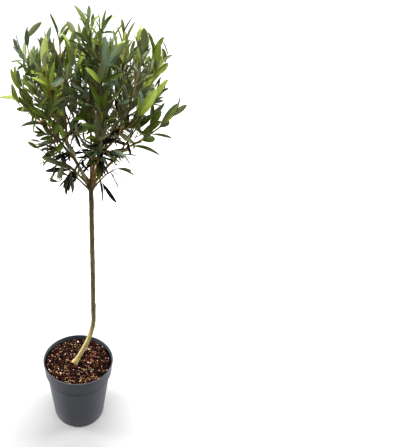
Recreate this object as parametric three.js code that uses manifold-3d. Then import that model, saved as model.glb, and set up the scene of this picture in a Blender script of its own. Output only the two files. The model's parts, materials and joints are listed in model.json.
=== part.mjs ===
// Potted olive tree: a round plastic nursery pot filled with potting mix, and a young olive
// with a slim leaning trunk, its boughs, and the leafy twigs that each bough carries.
// Millimetres and degrees, +Z up. The origin is the middle of the pot's flat underside.

import * as THREE from 'three';
import { mergeVertices } from 'three/addons/utils/BufferGeometryUtils.js';
import Module from 'manifold-3d';

const wasm = await Module();
wasm.setup();

// Every two pieces that meet keep this gap.
const GAP = 0.3;
// Below this a length counts as nothing.
const TINY = 1e-6;
// Vertices nearer than this are one.
const WELD = 0.002;

// Pot
const POT_HEIGHT = 134;
const RIM_RADIUS = 70;
const BASE_RADIUS = 52;
const WALL = 1.6;
const FLOOR = 2;
const COLLAR_HEIGHT = 26;
const COLLAR_FOOT_RADIUS = 67.5;
const COLLAR_STEP = 3.6;
const LIP_HEIGHT = 2.4;
const LIP_PROUD = 0.8;
const FOOT_ROUND = 2.5;
const COLLAR_SLOPE = 2.5;
const EDGE_ROUND = 0.6;
const POT_SIDES = 28;
const DRAIN_HOLES = 6;
const DRAIN_RADIUS = 4.5;
const DRAIN_CIRCLE = 34;
const NOTCHES = 6;
const NOTCH_RADIUS = 3.5;
const HOLE_SIDES = 8;

// Potting mix
const SOIL_LEVEL = 129;
const SOIL_EDGE_DROP = 2;
const SOIL_FLAT_RADIUS = 34;

// Trunk: its root under the soil, its fork, the height at which its lean is spent, and its radii
const FOOT = new THREE.Vector3(-10.4, -9.1, 122);
const FORK = new THREE.Vector3(27.4, 14, 505);
const BEND = new THREE.Vector3(31.2, 14, 222);
const TRUNK_STEPS = 26;
const TRUNK_SIDES = 8;
const TRUNK_FOOT_RADIUS = 4.7;
const TRUNK_TOP_RADIUS = 4;
const FLARE = 3.6;
const FLARE_HEIGHT = 6;
const KNOB = 2.8;
const KNOB_HEIGHT = 8;
const KNOB_BELOW_FORK = 6;

// Boughs
const BOUGH_SIDES = 5;
const BOUGH_STEPS = 5;
const BOUGH_TAPER = 0.72;
const HEAD_SPREAD = 3;

// Crown: the space that all twigs and leaves stay in. It is round in plan, widest at its
// middle, rounded off to its top and narrower towards its foot.
const CROWN_MIDDLE = new THREE.Vector3(32, 8, 665);
const CROWN_RADIUS = 127;
const CROWN_HEIGHT = 102;
const CROWN_DEPTH = 300;
const CROWN_TOP_POWER = 3;
const CROWN_FOOT_POWER = 1.7;
const STRAY_REACH = 1.25;

// Twigs: the stem of a mass and its side shoots
const TWIG_SIDES = 3;
const STEM_STEPS = 4;
const SHOOT_STEPS = 2;
const TWIG_TAPER = 0.6;
const FIRST_NODE = 11;
const NODE_SPACING = 17;
const LAST_NODE_SHARE = 0.9;
const TWIG_END_SHARE = 0.99;
const SHOOT_GIRTH = 0.6;
const SHOOT_LENGTH = 50;
const SHOOT_SHORTER_UP = 0.45;
const SHOOT_LEAST = 0.8;
const SHOOT_VARIETY = 0.4;
const SHOOT_ANGLE = 46;
const SHOOT_TURN = 12;
const SHOOT_CLOSE_SHARE = 0.3;
const SHOOT_LAST_SHARE = 0.68;
const SHOOT_TRIES = 5;
const SHOOT_SHRINK = 0.17;
const SHOOT_SLACK = { spin: 20, spinMore: 15, angle: 10, angleLess: 4 };
const UPRIGHT_RISE = 60;
const UPRIGHT_PULL = 0.35;
const TWIG_MARGIN = 4;
const TWIG_CLEARANCE = 1.6;
const TWIG_FREE_SHARE = 0.2;

// Leaves
const LEAF_LENGTH = 48;
const LEAF_LEAST = 0.84;
const LEAF_SWELL = 0.24;
const LEAF_SHORTEST = 0.86;
const LEAF_VARIETY = 0.28;
const LEAF_ASPECT = 0.245;
const LEAF_THICKNESS = 1.2;
const LEAF_SIDES = 3;
const LEAF_WIDEST = 0.46;
const LEAF_BOW = 0.1;
const LEAF_SINK = 0.4;
const LEAF_ANGLE = 58;
const LEAF_ANGLE_FALL = 26;
const LEAF_ROLL = 30;
const AXIL_DROP = 2.2;
const AXIL_ANGLE = 74;
const TIP_ANGLE = 20;
const TIP_SIZE = 0.98;
const TIP_HANG = 0.6;
const LEAF_TRIES = 8;
const LEAF_SHRINK = 0.06;
const LEAF_SLACK = { spin: 14, spinMore: 24, angle: 10, angleMore: 8 };
const LEAF_MARGIN = 2;
const LEAF_CLEARANCE = 1.1;
const LEAF_APART = 0.9;
const LEAF_FREE_SHARE = 0.12;

// Seed of the first mass, and the step to each next one
const FIRST_SEED = 11;
const SEED_STEP = 7;

// Each bough leaves the trunk or another bough at a share of its length, with a heading,
// a length, an upward bend over that length and a root radius. Its spray is the stem of
// the foliage mass at its tip, where hang pulls the leaves down. A stray spray has no side
// shoots, and may reach a little past the crown.
const BOUGHS = [
  { name: 'left_main', parent: 'trunk', at: 0.992, azimuth: -156, rise: 55, length: 76, bend: 14,
    radius: 3.4, spray: { azimuth: 118, rise: 77, length: 146, bend: 10, hang: 0 } },
  { name: 'lead_right', parent: 'trunk', at: 0.996, azimuth: 18, rise: 71, length: 85, bend: -6,
    radius: 2.9, spray: { azimuth: -17, rise: 75, length: 125, bend: 14, hang: 0 } },
  { name: 'lead_left', parent: 'trunk', at: 0.99, azimuth: -74, rise: 66, length: 86, bend: 8,
    radius: 2.8, spray: { azimuth: -126, rise: 78, length: 146, bend: 9, hang: 0 } },
  { name: 'back_main', parent: 'trunk', at: 0.988, azimuth: 90, rise: 54, length: 78, bend: 10,
    radius: 2.9, spray: { azimuth: 106, rise: 62, length: 128, bend: 16, hang: 0 } },
  { name: 'right_main', parent: 'trunk', at: 0.98, azimuth: -11, rise: 57, length: 83, bend: -14,
    radius: 2.9, spray: { azimuth: -8, rise: 30, length: 88, bend: 14, hang: 0, stray: true } },
  { name: 'front_low', parent: 'trunk', at: 0.974, azimuth: -72, rise: 50, length: 66, bend: 0,
    radius: 2.2, spray: { azimuth: -88, rise: 46, length: 108, bend: 16, hang: 0 } },
  { name: 'left_low', parent: 'trunk', at: 0.976, azimuth: -165, rise: 50, length: 57, bend: -8,
    radius: 2.2, spray: { azimuth: -160, rise: 62, length: 94, bend: 12, hang: 0 } },
  { name: 'back_low', parent: 'trunk', at: 0.972, azimuth: 72, rise: 46, length: 54, bend: 0,
    radius: 2, spray: { azimuth: 69, rise: 54, length: 112, bend: 14, hang: 0 } },
  { name: 'left_hang', parent: 'trunk', at: 0.957, azimuth: -140, rise: 46, length: 34, bend: 0,
    radius: 1.9, spray: { azimuth: -130, rise: 50, length: 48, bend: -20, hang: 0.35 } },
  { name: 'right_hang', parent: 'trunk', at: 0.962, azimuth: 4, rise: 52, length: 32, bend: -8,
    radius: 1.9, spray: { azimuth: -10, rise: 38, length: 22, bend: -12, hang: 0.3 } },
  { name: 'left_mid', parent: 'left_main', at: 0.6, azimuth: 171, rise: 53, length: 72, bend: -10,
    radius: 2.2, spray: { azimuth: 175, rise: 50, length: 64, bend: 14, hang: 0, stray: true } },
  { name: 'left_front', parent: 'left_main', at: 0.78, azimuth: -110, rise: 47, length: 67, bend: 0,
    radius: 2, spray: { azimuth: -105, rise: 55, length: 94, bend: 15, hang: 0 } },
  { name: 'left_back', parent: 'left_main', at: 0.5, azimuth: 126, rise: 47, length: 75, bend: 0,
    radius: 2, spray: { azimuth: 128, rise: 62, length: 111, bend: 14, hang: 0 } },
  { name: 'left_top', parent: 'left_main', at: 0.64, azimuth: -146, rise: 50, length: 78, bend: 6,
    radius: 1.9, spray: { azimuth: 155, rise: 70, length: 108, bend: 12, hang: 0 } },
  { name: 'front_top', parent: 'lead_left', at: 0.8, azimuth: -79, rise: 53, length: 71, bend: 6,
    radius: 1.9, spray: { azimuth: -88, rise: 68, length: 90, bend: 12, hang: 0 } },
  { name: 'front_right', parent: 'lead_left', at: 0.52, azimuth: -53, rise: 41, length: 73, bend: 0,
    radius: 2, spray: { azimuth: -44, rise: 60, length: 98, bend: 18, hang: 0 } },
  { name: 'right_top', parent: 'lead_right', at: 0.88, azimuth: -45, rise: 54, length: 72, bend: 6,
    radius: 1.9, spray: { azimuth: -30, rise: 67, length: 72, bend: 14, hang: 0 } },
  { name: 'right_mid', parent: 'lead_right', at: 0.6, azimuth: 18, rise: 48, length: 75, bend: -6,
    radius: 2, spray: { azimuth: 10, rise: 65, length: 84, bend: 17, hang: 0 } },
  { name: 'top_back', parent: 'lead_right', at: 0.8, azimuth: 106, rise: 51, length: 69, bend: 20,
    radius: 1.8, spray: { azimuth: 160, rise: 77, length: 97, bend: 6, hang: 0 } },
  { name: 'back_right', parent: 'back_main', at: 0.78, azimuth: 36, rise: 45, length: 73, bend: -6,
    radius: 1.9, spray: { azimuth: 44, rise: 66, length: 92, bend: 18, hang: 0 } },
  { name: 'right_low', parent: 'right_main', at: 0.62, azimuth: -46, rise: 50, length: 51, bend: 0,
    radius: 1.9, spray: { azimuth: -54, rise: 48, length: 72, bend: 14, hang: 0 } },
];

const finish = (color, roughness) => new THREE.MeshStandardMaterial({ color, roughness, metalness: 0 });
const POT_PLASTIC = finish(0x4b4d53, 0.5);
const POTTING_MIX = finish(0x3a241c, 0.95);
const BARK = finish(0x6d6246, 0.8);
const FOLIAGE = finish(0x5c6f3c, 0.6);

const rad = THREE.MathUtils.degToRad;
const deg = THREE.MathUtils.radToDeg;
const group = new THREE.Group();

// Adds a geometry to the model as a named piece.
function place(name, geometry, material) {
  const mesh = new THREE.Mesh(geometry, material.clone());
  mesh.name = name;
  group.add(mesh);
}

// A geometry with only its positions, and each vertex once.
function bare(geometry) {
  geometry.deleteAttribute('normal');
  geometry.deleteAttribute('uv');
  return mergeVertices(geometry);
}

function toSolid(geometry) {
  return new wasm.Manifold(new wasm.Mesh({
    numProp: 3,
    vertProperties: new Float32Array(geometry.attributes.position.array),
    triVerts: new Uint32Array(geometry.index.array),
  }));
}

// A solid's surface with near vertices drawn together. Faces that this flattens are dropped,
// and so is each pair of faces that it folds onto each other.
function toGeometry(solid) {
  const mesh = solid.getMesh();
  const loose = new THREE.BufferGeometry();
  loose.setAttribute('position', new THREE.BufferAttribute(mesh.vertProperties, 3));
  loose.setIndex(new THREE.BufferAttribute(mesh.triVerts, 1));
  const geometry = mergeVertices(loose, WELD);
  const faces = new Map();
  for (let i = 0; i < geometry.index.count; i += 3) {
    const corners = [...geometry.index.array.slice(i, i + 3)];
    const key = [...corners].sort((a, b) => a - b).join();
    if (faces.has(key)) faces.delete(key);
    else if (new Set(corners).size === corners.length) faces.set(key, corners);
  }
  geometry.setIndex([...faces.values()].flat());
  geometry.computeVertexNormals();
  return geometry;
}

// The largest of the separate bodies in a solid.
function largest(solid) {
  return solid.decompose().reduce((best, body) => (body.volume() > best.volume() ? body : best));
}

// Pot: a turned shell with a collar and a lip, drain holes in its floor round a solid middle,
// and notches round its foot.
function makePot() {
  const collarBottom = POT_HEIGHT - COLLAR_HEIGHT;
  const bodyTopRadius = COLLAR_FOOT_RADIUS - COLLAR_STEP;
  const lipBottom = POT_HEIGHT - LIP_HEIGHT;
  const profile = [
    [0, 0],
    [BASE_RADIUS - FOOT_ROUND, 0],
    [BASE_RADIUS - FOOT_ROUND * 0.3, FOOT_ROUND * 0.3],
    [BASE_RADIUS, FOOT_ROUND],
    [bodyTopRadius, collarBottom - COLLAR_SLOPE],
    [COLLAR_FOOT_RADIUS, collarBottom],
    [RIM_RADIUS - LIP_PROUD, lipBottom],
    [RIM_RADIUS, lipBottom + EDGE_ROUND],
    [RIM_RADIUS, POT_HEIGHT - EDGE_ROUND],
    [RIM_RADIUS - EDGE_ROUND, POT_HEIGHT],
    [RIM_RADIUS - LIP_PROUD - WALL, POT_HEIGHT],
    [COLLAR_FOOT_RADIUS - WALL, collarBottom + WALL],
    [bodyTopRadius - WALL, collarBottom + WALL - COLLAR_SLOPE],
    [BASE_RADIUS - WALL, FLOOR + WALL],
    [BASE_RADIUS - 2 * WALL, FLOOR],
    [0, FLOOR],
  ].map(([radius, height]) => new THREE.Vector2(radius, height));
  let pot = toSolid(bare(new THREE.LatheGeometry(profile, POT_SIDES).rotateX(Math.PI / 2)));
  for (let i = 0; i < DRAIN_HOLES; i += 1) {
    const turn = ((i + 0.5) / DRAIN_HOLES) * 2 * Math.PI;
    const hole = new THREE.CylinderGeometry(DRAIN_RADIUS, DRAIN_RADIUS, FLOOR * 4, HOLE_SIDES);
    hole.rotateX(Math.PI / 2);
    hole.translate(DRAIN_CIRCLE * Math.cos(turn), DRAIN_CIRCLE * Math.sin(turn), 0);
    pot = pot.subtract(toSolid(bare(hole)));
  }
  for (let i = 0; i < NOTCHES; i += 1) {
    const notch = new THREE.CylinderGeometry(NOTCH_RADIUS, NOTCH_RADIUS, WALL * 6, HOLE_SIDES);
    notch.rotateZ(Math.PI / 2);
    notch.translate(BASE_RADIUS, 0, FLOOR * 0.5).rotateZ(((i + 0.25) / NOTCHES) * 2 * Math.PI);
    pot = pot.subtract(toSolid(bare(notch)));
  }
  return toGeometry(largest(pot));
}

// Potting mix: fills the pot to the soil level, flat round the trunk and lower at the wall.
function makePottingMix() {
  const collarBottom = POT_HEIGHT - COLLAR_HEIGHT;
  const wallRadius = COLLAR_FOOT_RADIUS - COLLAR_STEP - WALL - GAP;
  const top = SOIL_LEVEL - GAP;
  const edge = top - SOIL_EDGE_DROP;
  const profile = [
    [0, FLOOR + GAP],
    [BASE_RADIUS - 2 * WALL - GAP, FLOOR + GAP],
    [BASE_RADIUS - WALL - GAP, FLOOR + WALL + GAP],
    [wallRadius, collarBottom + WALL - COLLAR_SLOPE],
    [COLLAR_FOOT_RADIUS - WALL - GAP, collarBottom + WALL + GAP],
    [COLLAR_FOOT_RADIUS - WALL - GAP, edge],
    [(COLLAR_FOOT_RADIUS + SOIL_FLAT_RADIUS) / 2, top - SOIL_EDGE_DROP / 3],
    [SOIL_FLAT_RADIUS, top],
    [0, top],
  ].map(([radius, height]) => new THREE.Vector2(radius, height));
  return toGeometry(toSolid(bare(new THREE.LatheGeometry(profile, POT_SIDES).rotateX(Math.PI / 2))));
}

// Seeded dice: the same seed always gives the same plant.
class Dice {
  constructor(seed) {
    this.state = seed;
  }

  roll() {
    this.state = (this.state * 48271) % 2147483647;
    return this.state / 2147483647;
  }

  spread(reach) {
    return (2 * this.roll() - 1) * reach;
  }
}

// Unit vector at an azimuth from +X and a rise from the level.
function heading(azimuth, rise) {
  const level = Math.cos(rad(rise));
  return new THREE.Vector3(
    level * Math.cos(rad(azimuth)),
    level * Math.sin(rad(azimuth)),
    Math.sin(rad(rise)),
  );
}

// Unit vector square to a direction: level at spin 0, as near up as it can be at spin 90.
function sideways(direction, spin) {
  const level = new THREE.Vector3(-direction.y, direction.x, 0);
  if (level.length() < TINY) level.set(1, 0, 0);
  level.normalize();
  const up = new THREE.Vector3().crossVectors(direction, level);
  return level.multiplyScalar(Math.cos(rad(spin))).addScaledVector(up, Math.sin(rad(spin)));
}

// A direction tilted away from another by an angle, towards one side.
function splay(direction, spin, angle) {
  return direction.clone().multiplyScalar(Math.cos(rad(angle)))
    .addScaledVector(sideways(direction, spin), Math.sin(rad(angle)));
}

// A path that starts with a heading and turns and bends evenly over its length.
function arc(start, azimuth, rise, length, turn, bend, steps) {
  const path = { points: [start.clone()], headings: [heading(azimuth, rise)], length };
  for (let i = 0; i < steps; i += 1) {
    const middle = (i + 0.5) / steps;
    const end = (i + 1) / steps;
    const stride = heading(azimuth + turn * middle, rise + bend * middle).multiplyScalar(length / steps);
    path.points.push(path.points[i].clone().add(stride));
    path.headings.push(heading(azimuth + turn * end, rise + bend * end));
  }
  return path;
}

// The point and the direction at a share of a path's length.
function along(path, share) {
  const steps = path.points.length - 1;
  const step = Math.min(Math.floor(share * steps), steps - 1);
  const part = share * steps - step;
  return {
    point: path.points[step].clone().lerp(path.points[step + 1], part),
    direction: path.headings[step].clone().lerp(path.headings[step + 1], part).normalize(),
  };
}

// A limb: a cylinder whose rings are carried along a path, each square to it, untwisted.
function limb(path, radii, sides) {
  const steps = path.points.length - 1;
  const shape = bare(new THREE.CylinderGeometry(1, 1, 1, sides, steps));
  const frames = [];
  let across = sideways(path.headings[0], 0);
  for (const direction of path.headings) {
    across = across.clone().addScaledVector(direction, -across.dot(direction)).normalize();
    frames.push({ across, over: new THREE.Vector3().crossVectors(across, direction) });
  }
  const at = shape.attributes.position;
  for (let i = 0; i < at.count; i += 1) {
    const ring = Math.round((at.getY(i) + 0.5) * steps);
    const spot = path.points[ring].clone()
      .addScaledVector(frames[ring].across, at.getX(i) * radii[ring])
      .addScaledVector(frames[ring].over, at.getZ(i) * radii[ring]);
    at.setXYZ(i, spot.x, spot.y, spot.z);
  }
  return toSolid(shape);
}

function evenTaper(root, tip, steps) {
  return Array.from({ length: steps + 1 }, (_, i) => root + ((tip - root) * i) / steps);
}

// Trunk: it leans to the right and back out of the soil, comes upright by the bend, and
// drifts to the fork. It flares towards its root and swells into a knob under the fork.
function trunkPath() {
  const path = { points: [], headings: [], length: FORK.z - FOOT.z };
  for (let i = 0; i <= TRUNK_STEPS; i += 1) {
    const z = FOOT.z + ((FORK.z - FOOT.z) * i) / TRUNK_STEPS;
    const lean = Math.sin((Math.PI / 2) * Math.min(1, (z - FOOT.z) / (BEND.z - FOOT.z)));
    const drift = Math.max(0, (z - BEND.z) / (FORK.z - BEND.z));
    path.points.push(new THREE.Vector3(
      FOOT.x + (BEND.x - FOOT.x) * lean + (FORK.x - BEND.x) * drift,
      FOOT.y + (BEND.y - FOOT.y) * lean + (FORK.y - BEND.y) * drift,
      z,
    ));
  }
  path.points.forEach((point, i) => {
    const before = path.points[Math.max(0, i - 1)];
    const after = path.points[Math.min(TRUNK_STEPS, i + 1)];
    path.headings.push(after.clone().sub(before).normalize());
  });
  path.headings[0].set(0, 0, 1);
  return path;
}

function trunkRadius(z) {
  const share = (z - FOOT.z) / (FORK.z - FOOT.z);
  const flare = FLARE * Math.exp(-(z - FOOT.z) / FLARE_HEIGHT);
  const knob = KNOB * Math.exp(-(((z - FORK.z + KNOB_BELOW_FORK) / KNOB_HEIGHT) ** 2));
  return TRUNK_FOOT_RADIUS + (TRUNK_TOP_RADIUS - TRUNK_FOOT_RADIUS) * share + flare + knob;
}

// The least distance between the straight lines from p to q and from a to b.
function lineGap(p, q, a, b) {
  const d1 = q.clone().sub(p);
  const d2 = b.clone().sub(a);
  const r = p.clone().sub(a);
  const l1 = d1.dot(d1);
  const l2 = d2.dot(d2);
  const f = d2.dot(r);
  const c = d1.dot(r);
  const m = d1.dot(d2);
  const spread = l1 * l2 - m * m;
  let s = spread > TINY ? THREE.MathUtils.clamp((m * f - c * l2) / spread, 0, 1) : 0;
  const t = THREE.MathUtils.clamp((m * s + f) / l2, 0, 1);
  s = THREE.MathUtils.clamp((m * t - c) / l1, 0, 1);
  return p.clone().addScaledVector(d1, s).distanceTo(a.clone().addScaledVector(d2, t));
}

function pointGap(p, a, b) {
  const d = b.clone().sub(a);
  const t = THREE.MathUtils.clamp(p.clone().sub(a).dot(d) / d.dot(d), 0, 1);
  return p.distanceTo(a.clone().addScaledVector(d, t));
}

// The straight stretches of a path.
function stretches(path) {
  return path.points.slice(1).map((point, i) => [path.points[i], point]);
}

// Plan of the boughs and of the stems at their tips
const paths = { trunk: trunkPath() };
const hard = stretches(paths.trunk)
  .map(([a, b]) => ({ a, b, radius: Math.max(trunkRadius(a.z), trunkRadius(b.z)) }));
const stems = {};
for (const bough of BOUGHS) {
  const root = along(paths[bough.parent], bough.at);
  if (bough.parent === 'trunk') root.point.addScaledVector(heading(bough.azimuth, 0), HEAD_SPREAD);
  const path = arc(root.point, bough.azimuth, bough.rise, bough.length, 0, bough.bend, BOUGH_STEPS);
  paths[bough.name] = path;
  bough.tip = bough.radius * BOUGH_TAPER;
  bough.radii = evenTaper(bough.radius, bough.tip, BOUGH_STEPS);
  stretches(path).forEach(([a, b], i) => hard.push({ a, b, radius: bough.radii[i] }));
  const { azimuth, rise, length, bend } = bough.spray;
  const end = along(path, 1);
  const stem = arc(end.point.addScaledVector(end.direction, GAP), azimuth, rise, length, 0, bend, STEM_STEPS);
  stem.headings[0].copy(end.direction);
  stems[bough.name] = stem;
}

// The crown's radius at a height.
function crownRadius(z) {
  const up = THREE.MathUtils.clamp((z - CROWN_MIDDLE.z) / CROWN_HEIGHT, 0, 1);
  const down = THREE.MathUtils.clamp((CROWN_MIDDLE.z - z) / CROWN_DEPTH, 0, 1);
  const share = up > 0 ? (1 - up ** CROWN_TOP_POWER) ** (1 / CROWN_TOP_POWER) : 1 - down ** CROWN_FOOT_POWER;
  return CROWN_RADIUS * share;
}

// Whether every point keeps to a mass's own space: nearer its own stem than any other,
// by a margin, and inside the crown.
function keepsSpace(points, { name, spray }, margin) {
  const reach = spray.stray ? STRAY_REACH : 1;
  return points.every((point) => {
    const gaps = { own: Infinity, other: Infinity };
    for (const [owner, stem] of Object.entries(stems)) {
      const side = owner === name ? 'own' : 'other';
      for (const [a, b] of stretches(stem)) gaps[side] = Math.min(gaps[side], pointGap(point, a, b));
    }
    const off = Math.hypot(point.x - CROWN_MIDDLE.x, point.y - CROWN_MIDDLE.y);
    return gaps.other - gaps.own >= margin && off < crownRadius(point.z) * reach;
  });
}

// Whether lines stay clear of every one of a list of round stretches.
function clearOf(rods, lines, clearance) {
  return lines.every(([p, q]) => rods.every(({ a, b, radius }) => lineGap(p, q, a, b) > radius + clearance));
}

// A leaf: a thin six-sided blade with a keel beneath it, widest a little short of its middle
// and bowed down to its tip. The cone's tip and the middle of its foot are the leaf's ends.
function leafSolid({ root, axis, normal, side, length }) {
  const shape = bare(new THREE.ConeGeometry(1, 1, LEAF_SIDES));
  const at = shape.attributes.position;
  const half = (length * LEAF_ASPECT) / 2 / Math.sin(Math.PI / LEAF_SIDES);
  const thick = LEAF_THICKNESS / (1 + Math.cos(Math.PI / LEAF_SIDES));
  for (let i = 0; i < at.count; i += 1) {
    const rim = Math.hypot(at.getX(i), at.getZ(i)) > 0.5 ? LEAF_WIDEST : 0;
    const share = at.getY(i) > 0 ? 1 : rim;
    const bow = share === 1 ? LEAF_BOW * length : 0;
    const spot = root.clone().addScaledVector(axis, share * length)
      .addScaledVector(side, -at.getX(i) * half)
      .addScaledVector(normal, -at.getZ(i) * thick - bow);
    at.setXYZ(i, spot.x, spot.y, spot.z);
  }
  return toSolid(shape);
}

// Tries to set a leaf on a twig, turning and shortening it until it keeps to its space.
function growLeaf(mass, point, direction, radius, spin, angle, size, hang) {
  for (let attempt = 0; attempt < LEAF_TRIES; attempt += 1) {
    const turned = spin + mass.dice.spread(LEAF_SLACK.spin + LEAF_SLACK.spinMore * attempt);
    const opened = angle + mass.dice.spread(LEAF_SLACK.angle + LEAF_SLACK.angleMore * attempt);
    const variety = LEAF_SHORTEST + LEAF_VARIETY * mass.dice.roll();
    const length = size * variety * (1 - LEAF_SHRINK * attempt);
    const roll = mass.dice.spread(LEAF_ROLL);
    const axis = splay(direction, turned, opened).add(new THREE.Vector3(0, 0, -hang)).normalize();
    const face = direction.clone().addScaledVector(axis, -direction.dot(axis));
    if (face.length() < TINY) face.copy(sideways(axis, 90));
    face.normalize();
    const edge = new THREE.Vector3().crossVectors(axis, face);
    const [tilt, level] = [Math.sin(rad(roll)), Math.cos(rad(roll))];
    const normal = face.clone().multiplyScalar(level).addScaledVector(edge, tilt);
    const side = edge.clone().multiplyScalar(level).addScaledVector(face, -tilt);
    const root = point.clone().addScaledVector(axis, -LEAF_SINK * radius);
    const half = (length * LEAF_ASPECT) / 2;
    const middle = root.clone().addScaledVector(axis, LEAF_WIDEST * length);
    const left = middle.clone().addScaledVector(side, half);
    const right = middle.clone().addScaledVector(side, -half);
    const tip = root.clone().addScaledVector(axis, length).addScaledVector(normal, -LEAF_BOW * length);
    const near = root.clone().addScaledVector(axis, LEAF_FREE_SHARE * length);
    const rim = [root, left, right, tip, near.clone().lerp(left, 0.5), near.clone().lerp(right, 0.5),
      left.clone().lerp(tip, 0.5), right.clone().lerp(tip, 0.5)];
    const lines = [[near, tip], [left, right], [near, left], [near, right], [left, tip], [right, tip]];
    if (keepsSpace(rim, mass, LEAF_MARGIN) && clearOf(hard, lines, LEAF_CLEARANCE)
      && clearOf(mass.grown, lines, LEAF_APART)) {
      mass.solids.push(leafSolid({ root, axis, normal, side, length }));
      for (const [a, b] of lines) mass.grown.push({ a, b, radius: LEAF_THICKNESS / 2 });
      return;
    }
  }
}

// Tries to start a side shoot, turning and shortening it until it keeps to its space.
function growShoot(mass, point, direction, spin, share, radius) {
  const { hang, bend } = mass.spray;
  for (let attempt = 0; attempt < SHOOT_TRIES; attempt += 1) {
    const turned = spin + mass.dice.spread(SHOOT_SLACK.spin + SHOOT_SLACK.spinMore * attempt);
    const opened = SHOOT_ANGLE + mass.dice.spread(SHOOT_SLACK.angle) - SHOOT_SLACK.angleLess * attempt;
    const start = splay(direction, turned, opened);
    const azimuth = deg(Math.atan2(start.y, start.x));
    const rise = deg(Math.asin(THREE.MathUtils.clamp(start.z, -1, 1)));
    const variety = SHOOT_LEAST + SHOOT_VARIETY * mass.dice.roll();
    const length = SHOOT_LENGTH * (1 - SHOOT_SHORTER_UP * share) * variety * (1 - SHOOT_SHRINK * attempt);
    const lift = bend > 0 ? bend + UPRIGHT_PULL * (UPRIGHT_RISE - rise) : bend;
    const path = arc(point, azimuth, rise, length, mass.dice.spread(SHOOT_TURN), lift, SHOOT_STEPS);
    const [, middle, end] = path.points;
    const lines = [[along(path, TWIG_FREE_SHARE).point, middle], [middle, end]];
    if (keepsSpace([middle, end], mass, TWIG_MARGIN) && clearOf(hard, lines, TWIG_CLEARANCE)
      && clearOf(mass.grown, lines, TWIG_CLEARANCE)) {
      growTwig(mass, path, radius, 1, hang);
      return;
    }
  }
}

// A twig: pairs of leaves, each pair a quarter turn on from the last, with side shoots in
// the axils of a stem's lower pairs, and a last pair at its tip.
function growTwig(mass, path, radius, order, hang) {
  const steps = path.points.length - 1;
  const radii = evenTaper(radius, radius * TWIG_TAPER, steps);
  mass.solids.push(limb(path, radii, TWIG_SIDES));
  let spin = mass.dice.roll() * 90;
  const pairs = Math.max(1, Math.floor((path.length - FIRST_NODE) / NODE_SPACING));
  for (let i = 0; i < pairs; i += 1) {
    const share = Math.min(LAST_NODE_SHARE, (FIRST_NODE + i * NODE_SPACING) / path.length);
    const { point, direction } = along(path, share);
    const size = LEAF_LENGTH * (LEAF_LEAST + LEAF_SWELL * Math.sin(Math.PI * (0.2 + 0.6 * share)));
    const forks = order === 0 && !mass.spray.stray && share < SHOOT_LAST_SHARE
      && (i % 2 === 0 || share < SHOOT_CLOSE_SHARE);
    const girth = radius * (1 - (1 - TWIG_TAPER) * share);
    const angle = forks ? AXIL_ANGLE : LEAF_ANGLE - LEAF_ANGLE_FALL * share;
    spin += 90;
    for (const half of [0, 180]) {
      const axil = forks ? point.clone().addScaledVector(direction, -AXIL_DROP) : point;
      if (forks) growShoot(mass, point, direction, spin + half, share, girth * SHOOT_GIRTH);
      growLeaf(mass, axil, direction, girth, spin + half, angle, size, hang);
    }
  }
  const { point, direction } = along(path, TWIG_END_SHARE);
  const girth = radius * TWIG_TAPER;
  for (const half of [90, 270]) {
    growLeaf(mass, point, direction, girth, spin + half, TIP_ANGLE, LEAF_LENGTH * TIP_SIZE, hang * TIP_HANG);
  }
  stretches(path).forEach(([a, b], i) => mass.grown.push({ a, b, radius: radii[i] }));
}

place('pot', makePot(), POT_PLASTIC);
place('potting_mix', makePottingMix(), POTTING_MIX);

// Trunk and boughs: the trunk is cut flat at the soil, and each bough is cut clear of the
// trunk and of the boughs before it.
const trunkRadii = paths.trunk.points.map((point) => trunkRadius(point.z));
const trunk = limb(paths.trunk, trunkRadii, TRUNK_SIDES).trimByPlane([0, 0, 1], SOIL_LEVEL);
place('trunk', toGeometry(trunk), BARK);
const cutters = [limb(paths.trunk, trunkRadii.map((radius) => radius + GAP), TRUNK_SIDES)];
for (const bough of BOUGHS) {
  const path = paths[bough.name];
  let solid = limb(path, bough.radii, BOUGH_SIDES);
  for (const cutter of cutters) solid = solid.subtract(cutter);
  cutters.push(limb(path, bough.radii.map((radius) => radius + GAP), BOUGH_SIDES));
  place(`bough_${bough.name}`, toGeometry(largest(solid)), BARK);
}

// Foliage: one mass on the tip of each bough.
BOUGHS.forEach((bough, i) => {
  const dice = new Dice(FIRST_SEED + SEED_STEP * i);
  const mass = { name: bough.name, spray: bough.spray, dice, solids: [], grown: [] };
  growTwig(mass, stems[bough.name], bough.tip, 0, bough.spray.hang);
  place(`foliage_${bough.name}`, toGeometry(mass.solids.reduce((whole, solid) => whole.add(solid))), FOLIAGE);
});

export default group;
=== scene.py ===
"""Looks of a young potted olive tree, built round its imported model.

A tapered nursery pot of dull plastic is filled with bark mix. A slim trunk leans out of the
mix, comes upright and ends in a swollen head. Boughs rise from the head, and each carries a
stem with side shoots and opposite pairs of narrow leaves, grown by a seeded rule.
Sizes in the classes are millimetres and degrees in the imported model's frame, and a mesh is
scaled to metres when it is made.
"""

import json
import logging
import math
from dataclasses import dataclass, field, fields, replace
from enum import Enum
from typing import Iterable, Sequence

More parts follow.
